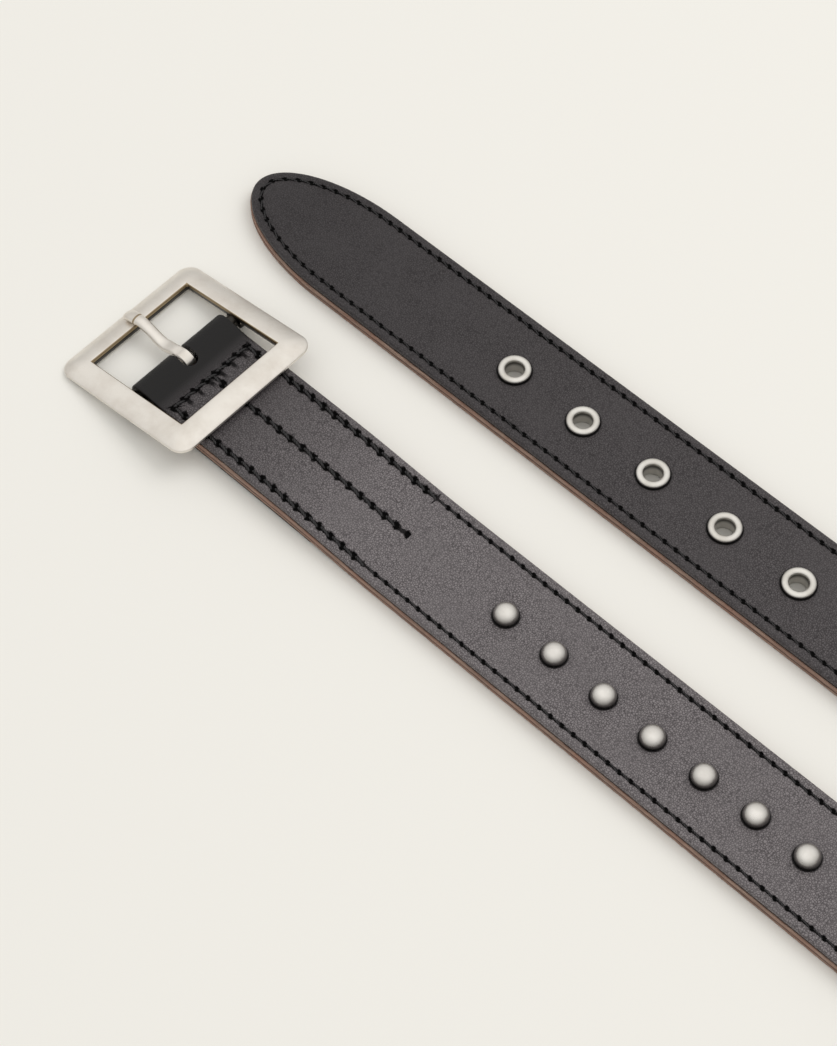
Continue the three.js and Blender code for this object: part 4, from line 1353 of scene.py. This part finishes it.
def brown_leather():
    """Two plies with a dark seam between them, fibres along the cut edge, and painted shade at its foot."""
    r = Recipe("brown_leather")
    layers = r.noise(r.place((0.22, 1.0, 3.2)), 1.0, 4.0, 0.65)
    blotches = r.noise(r.place(), 0.12, 3.0, 0.6)
    fibres = r.noise(r.place((2.2, 2.2, 5.0)), 1.0, 4.0, 0.7)
    colour = r.blend(r.spread(layers, 0.35, 0.65), BROWN, PALE_BROWN)
    colour = r.blend(r.spread(blotches, 0.4, 0.7), colour, RED_BROWN)
    ply = r.minus(r.part(r.place(), 2), r.times(blotches, 0.3))
    from_seam = r.size(r.minus(ply, PLY_SEAM))
    colour = r.blend(r.smooth(from_seam, *SEAM_SPREAD, 0.85, 0.0), colour, BROWN_SEAM)
    # painted shade at the foot of the cut edge, near the ground
    foot = r.smooth(r.part(r.place(), 2), 0.15, 0.5, 0.6, 0.0)
    colour = r.blend(foot, colour, BROWN_FOOT_SHADE)
    height = r.sum(layers, r.times(fibres, 0.6))
    r.surface(Base_Color=colour, Roughness=0.9, Normal=r.bump(height, GRAIN_HEIGHT, 0.7))
    r.shader.inputs["Specular IOR Level"].default_value = 0.25
    return r.material


def black_thread():
    """Twisted thread with a soft gloss and painted shade in the hollows of its twist."""
    r = Recipe("black_thread")
    plies = r.node("ShaderNodeTexWave", {"wave_type": "BANDS", "bands_direction": "DIAGONAL"},
                   {"Vector": r.place(), "Scale": 0.75, "Distortion": 0.6}).outputs["Fac"]
    r.surface(Base_Color=r.blend(plies, THREAD_HOLLOW_SHADE, THREAD), Roughness=0.45, Specular_IOR_Level=0.5,
              Normal=r.bump(plies, PLY_HEIGHT, 0.9))
    return r.material


def worn_metal(r, colour, dull, roughness, grain, bump):
    """Plated metal with a soft grain, faint scratches and duller patches; returns its colour."""
    place = r.own_place()
    patches = r.noise(place, 0.14, 4.0, 0.6)
    speckle = r.noise(place, grain, 3.0, 0.6)
    scratches = r.noise(r.own_place((300, 4500, 1500)), 1.0, 2.0, 0.5)
    tint = r.blend(r.spread(patches, 0.42, 0.72), colour, dull)
    gloss = r.sum(r.spread(patches, 0.3, 0.7, roughness - 0.04, roughness + 0.07),
                  r.spread(speckle, 0.3, 0.7, -0.03, 0.05))
    height = r.sum(speckle, r.times(scratches, 0.4))
    r.surface(Base_Color=tint, Metallic=1.0, Roughness=gloss, Normal=r.bump(height, bump, 0.5))
    return tint


def satin_nickel():
    """The frame and prong: satin on the outside; on the wall round the window brassy above and painted shade
    below; painted shade under the centre bar and beside the strap.
    """
    r = Recipe("satin_nickel")
    tint = worn_metal(r, *NICKEL, 0.33, 4.0, 0.00002)
    centre = BAR_PLACE + [0, 0, BAR_HEIGHT]
    place = r.vector_maths("SUBTRACT", r.own_place(), (centre[0], centre[1] + FRAME_DRIFT, centre[2]))
    turned = r.node("ShaderNodeVectorRotate", {"rotation_type": "Y_AXIS"},
                    {"Vector": place, "Angle": frame_tilt()}).outputs["Vector"]
    out_x = r.minus(r.size(r.part(turned, 0)), WINDOW_LENGTH / 2)
    out_y = r.minus(r.size(r.part(turned, 1)), WINDOW_WIDTH / 2)
    out = r.larger(out_x, out_y)
    up = r.part(turned, 2)
    on_wall = r.times(r.spread(r.size(out), *WALL_SPREAD, 1.0, 0.0), r.spread(up, -0.5, 0.0))
    # painted shade on the lower part of the window's wall, brassy above it
    wall = r.blend(r.spread(up, WALL_GOLD_FROM, WALL_GOLD_FROM + 0.15), WALL_SHADE, WALL_GOLD)
    # painted shade under the centre bar, and on its ends beside the strap
    low = r.spread(up, -0.3, 0.25, 1.0, 0.0)
    beside_strap = r.times(r.spread(out_y, -3.2, -2.8), r.spread(out, -0.1, 0.0, 1.0, 0.0))
    dark = r.larger(low, r.times(beside_strap, r.spread(out_x, -9.0, -8.5, 1.0, 0.0)))
    r.surface(Base_Color=r.blend(dark, r.blend(on_wall, tint, wall), NICKEL_SHADE))
    return r.material


def bright_nickel():
    """The eyelets: bright on the rim, with painted shade down in the bore and round the foot of the rim."""
    r = Recipe("bright_nickel")
    tint = worn_metal(r, *EYELET_METAL, 0.34, 5.0, 0.00001)
    height = r.part(r.place(), 2)
    # painted shade, deepening down the bore
    bore = r.blend(r.smooth(height, *BORE_SHADE_ENDS), BORE_HALF_SHADE, BORE_SHADE)
    r.surface(Base_Color=r.blend(r.smooth(height, *RIM_STARTS), bore, tint))
    return r.material


def pewter():
    """The studs: dull metal, with painted shade towards the rim."""
    r = Recipe("pewter")
    tint = worn_metal(r, *STUD_METAL, 0.3, 3.0, 0.00003)
    # painted shade towards the dome's base, where it meets the leather
    above = r.smooth(r.part(r.place(), 2), *STUD_SHADE_ENDS)
    r.surface(Base_Color=r.blend(above, STUD_SHADE, tint))
    return r.material


def pale_floor():
    """The matt ground."""
    r = Recipe("pale_floor")
    r.surface(Base_Color=FLOOR_COLOUR, Roughness=0.9)
    r.shader.inputs["Specular IOR Level"].default_value = 0.1
    return r.material


# Studio: a pale floor, a soft sky, a large soft light and the camera

FLOOR_COLOUR = (0.86, 0.849, 0.812, 1)
FLOOR_SIZE = 80.0
FLOOR_DROP = 0.00002  # keeps the ground clear of the belt's underside
SKY_COLOUR = (1.0, 0.985, 0.955, 1)
BRIGHTEST = (-0.08, 0.02, 1.0)
DIM_SKY = 0.36
BRIGHT_SKY = 1.07
KEY_AIM = (-0.08, -0.05, 0.0)
KEY_PLACE = (0.3, 1.25, 1.75)
KEY_SIZE = (1.3, 1.3)
KEY_POWER = 11.0
KEY_COLOUR = (1.0, 0.99, 0.97)
CAMERA_PLACE = (0.1020, -0.2800, 0.5824)
CAMERA_AIM = (-0.1414, -0.0189, 0.0)
LENS = 86.19
SENSOR_HEIGHT = 36


def point_at(piece, aim):
    direction = Vector(aim) - piece.location
    piece.rotation_euler = direction.to_track_quat("-Z", "Y").to_euler()


def add_area_light(name, place, aim, size, power, colour):
    """A soft light that metal and leather don't mirror."""
    data = bpy.data.lights.new(name, "AREA")
    data.shape = "RECTANGLE"
    data.size, data.size_y = size
    data.energy = power
    data.color = colour
    light = bpy.data.objects.new(name, data)
    light.location = place
    light.visible_glossy = False
    bpy.context.scene.collection.objects.link(light)
    point_at(light, aim)


def soft_sky():
    """A sky that is brightest round one high direction and dims away from it, as under a large cloth."""
    world = bpy.data.worlds.new("studio_sky")
    world.use_nodes = True
    tree = world.node_tree
    background = tree.nodes["Background"]
    background.inputs["Color"].default_value = SKY_COLOUR
    direction = tree.nodes.new("ShaderNodeTexCoord")
    facing = tree.nodes.new("ShaderNodeVectorMath")
    facing.operation = "DOT_PRODUCT"
    facing.inputs[1].default_value = Vector(BRIGHTEST).normalized()
    rise = tree.nodes.new("ShaderNodeMapRange")
    for name, value in (("From Min", -0.1), ("From Max", 1.0), ("To Min", DIM_SKY), ("To Max", BRIGHT_SKY)):
        rise.inputs[name].default_value = value
    tree.links.new(direction.outputs["Generated"], facing.inputs[0])
    tree.links.new(facing.outputs["Value"], rise.inputs["Value"])
    tree.links.new(rise.outputs["Result"], background.inputs["Strength"])
    return world


def make_studio():
    half = FLOOR_SIZE / 2
    mesh = bpy.data.meshes.new("floor")
    corners = [(-half, -half, 0), (half, -half, 0), (half, half, 0), (-half, half, 0)]
    mesh.from_pydata(corners, [], [(0, 1, 2, 3)])
    floor = bpy.data.objects.new("floor", mesh)
    floor.location.z = -FLOOR_DROP
    mesh.materials.append(pale_floor())
    bpy.context.scene.collection.objects.link(floor)

    bpy.context.scene.world = soft_sky()

    add_area_light("key_light", KEY_PLACE, KEY_AIM, KEY_SIZE, KEY_POWER, KEY_COLOUR)
    bpy.context.scene.view_settings.view_transform = "Standard"
    bpy.context.scene.view_settings.look = "None"


def make_camera():
    """The photograph's view."""
    data = bpy.data.cameras.new("camera")
    data.sensor_fit = "VERTICAL"
    data.sensor_height = SENSOR_HEIGHT
    data.lens = LENS
    data.clip_start = 0.01
    camera = bpy.data.objects.new("camera", data)
    camera.location = CAMERA_PLACE
    bpy.context.scene.collection.objects.link(camera)
    point_at(camera, CAMERA_AIM)
    bpy.context.scene.camera = camera


# Assembly

def make_belt():
    leather = black_leather()
    thread = black_thread()
    nickel = satin_nickel()
    make_layer("top_leather", top_leather_skin(), OUTER, leather, "strap_outer")
    make_layer("inner_leather", lining_skin(), LINING, brown_leather(), "strap_lining")
    add_piece("stitching", stitches_on_top(), "strap", thread)
    add_piece("stitching_below", stitches_below(), "strap", thread)
    make_eyelets(bright_nickel())
    make_studs(pewter())
    make_frame(nickel)
    make_prong(nickel)


make_camera()
make_studio()
make_belt()
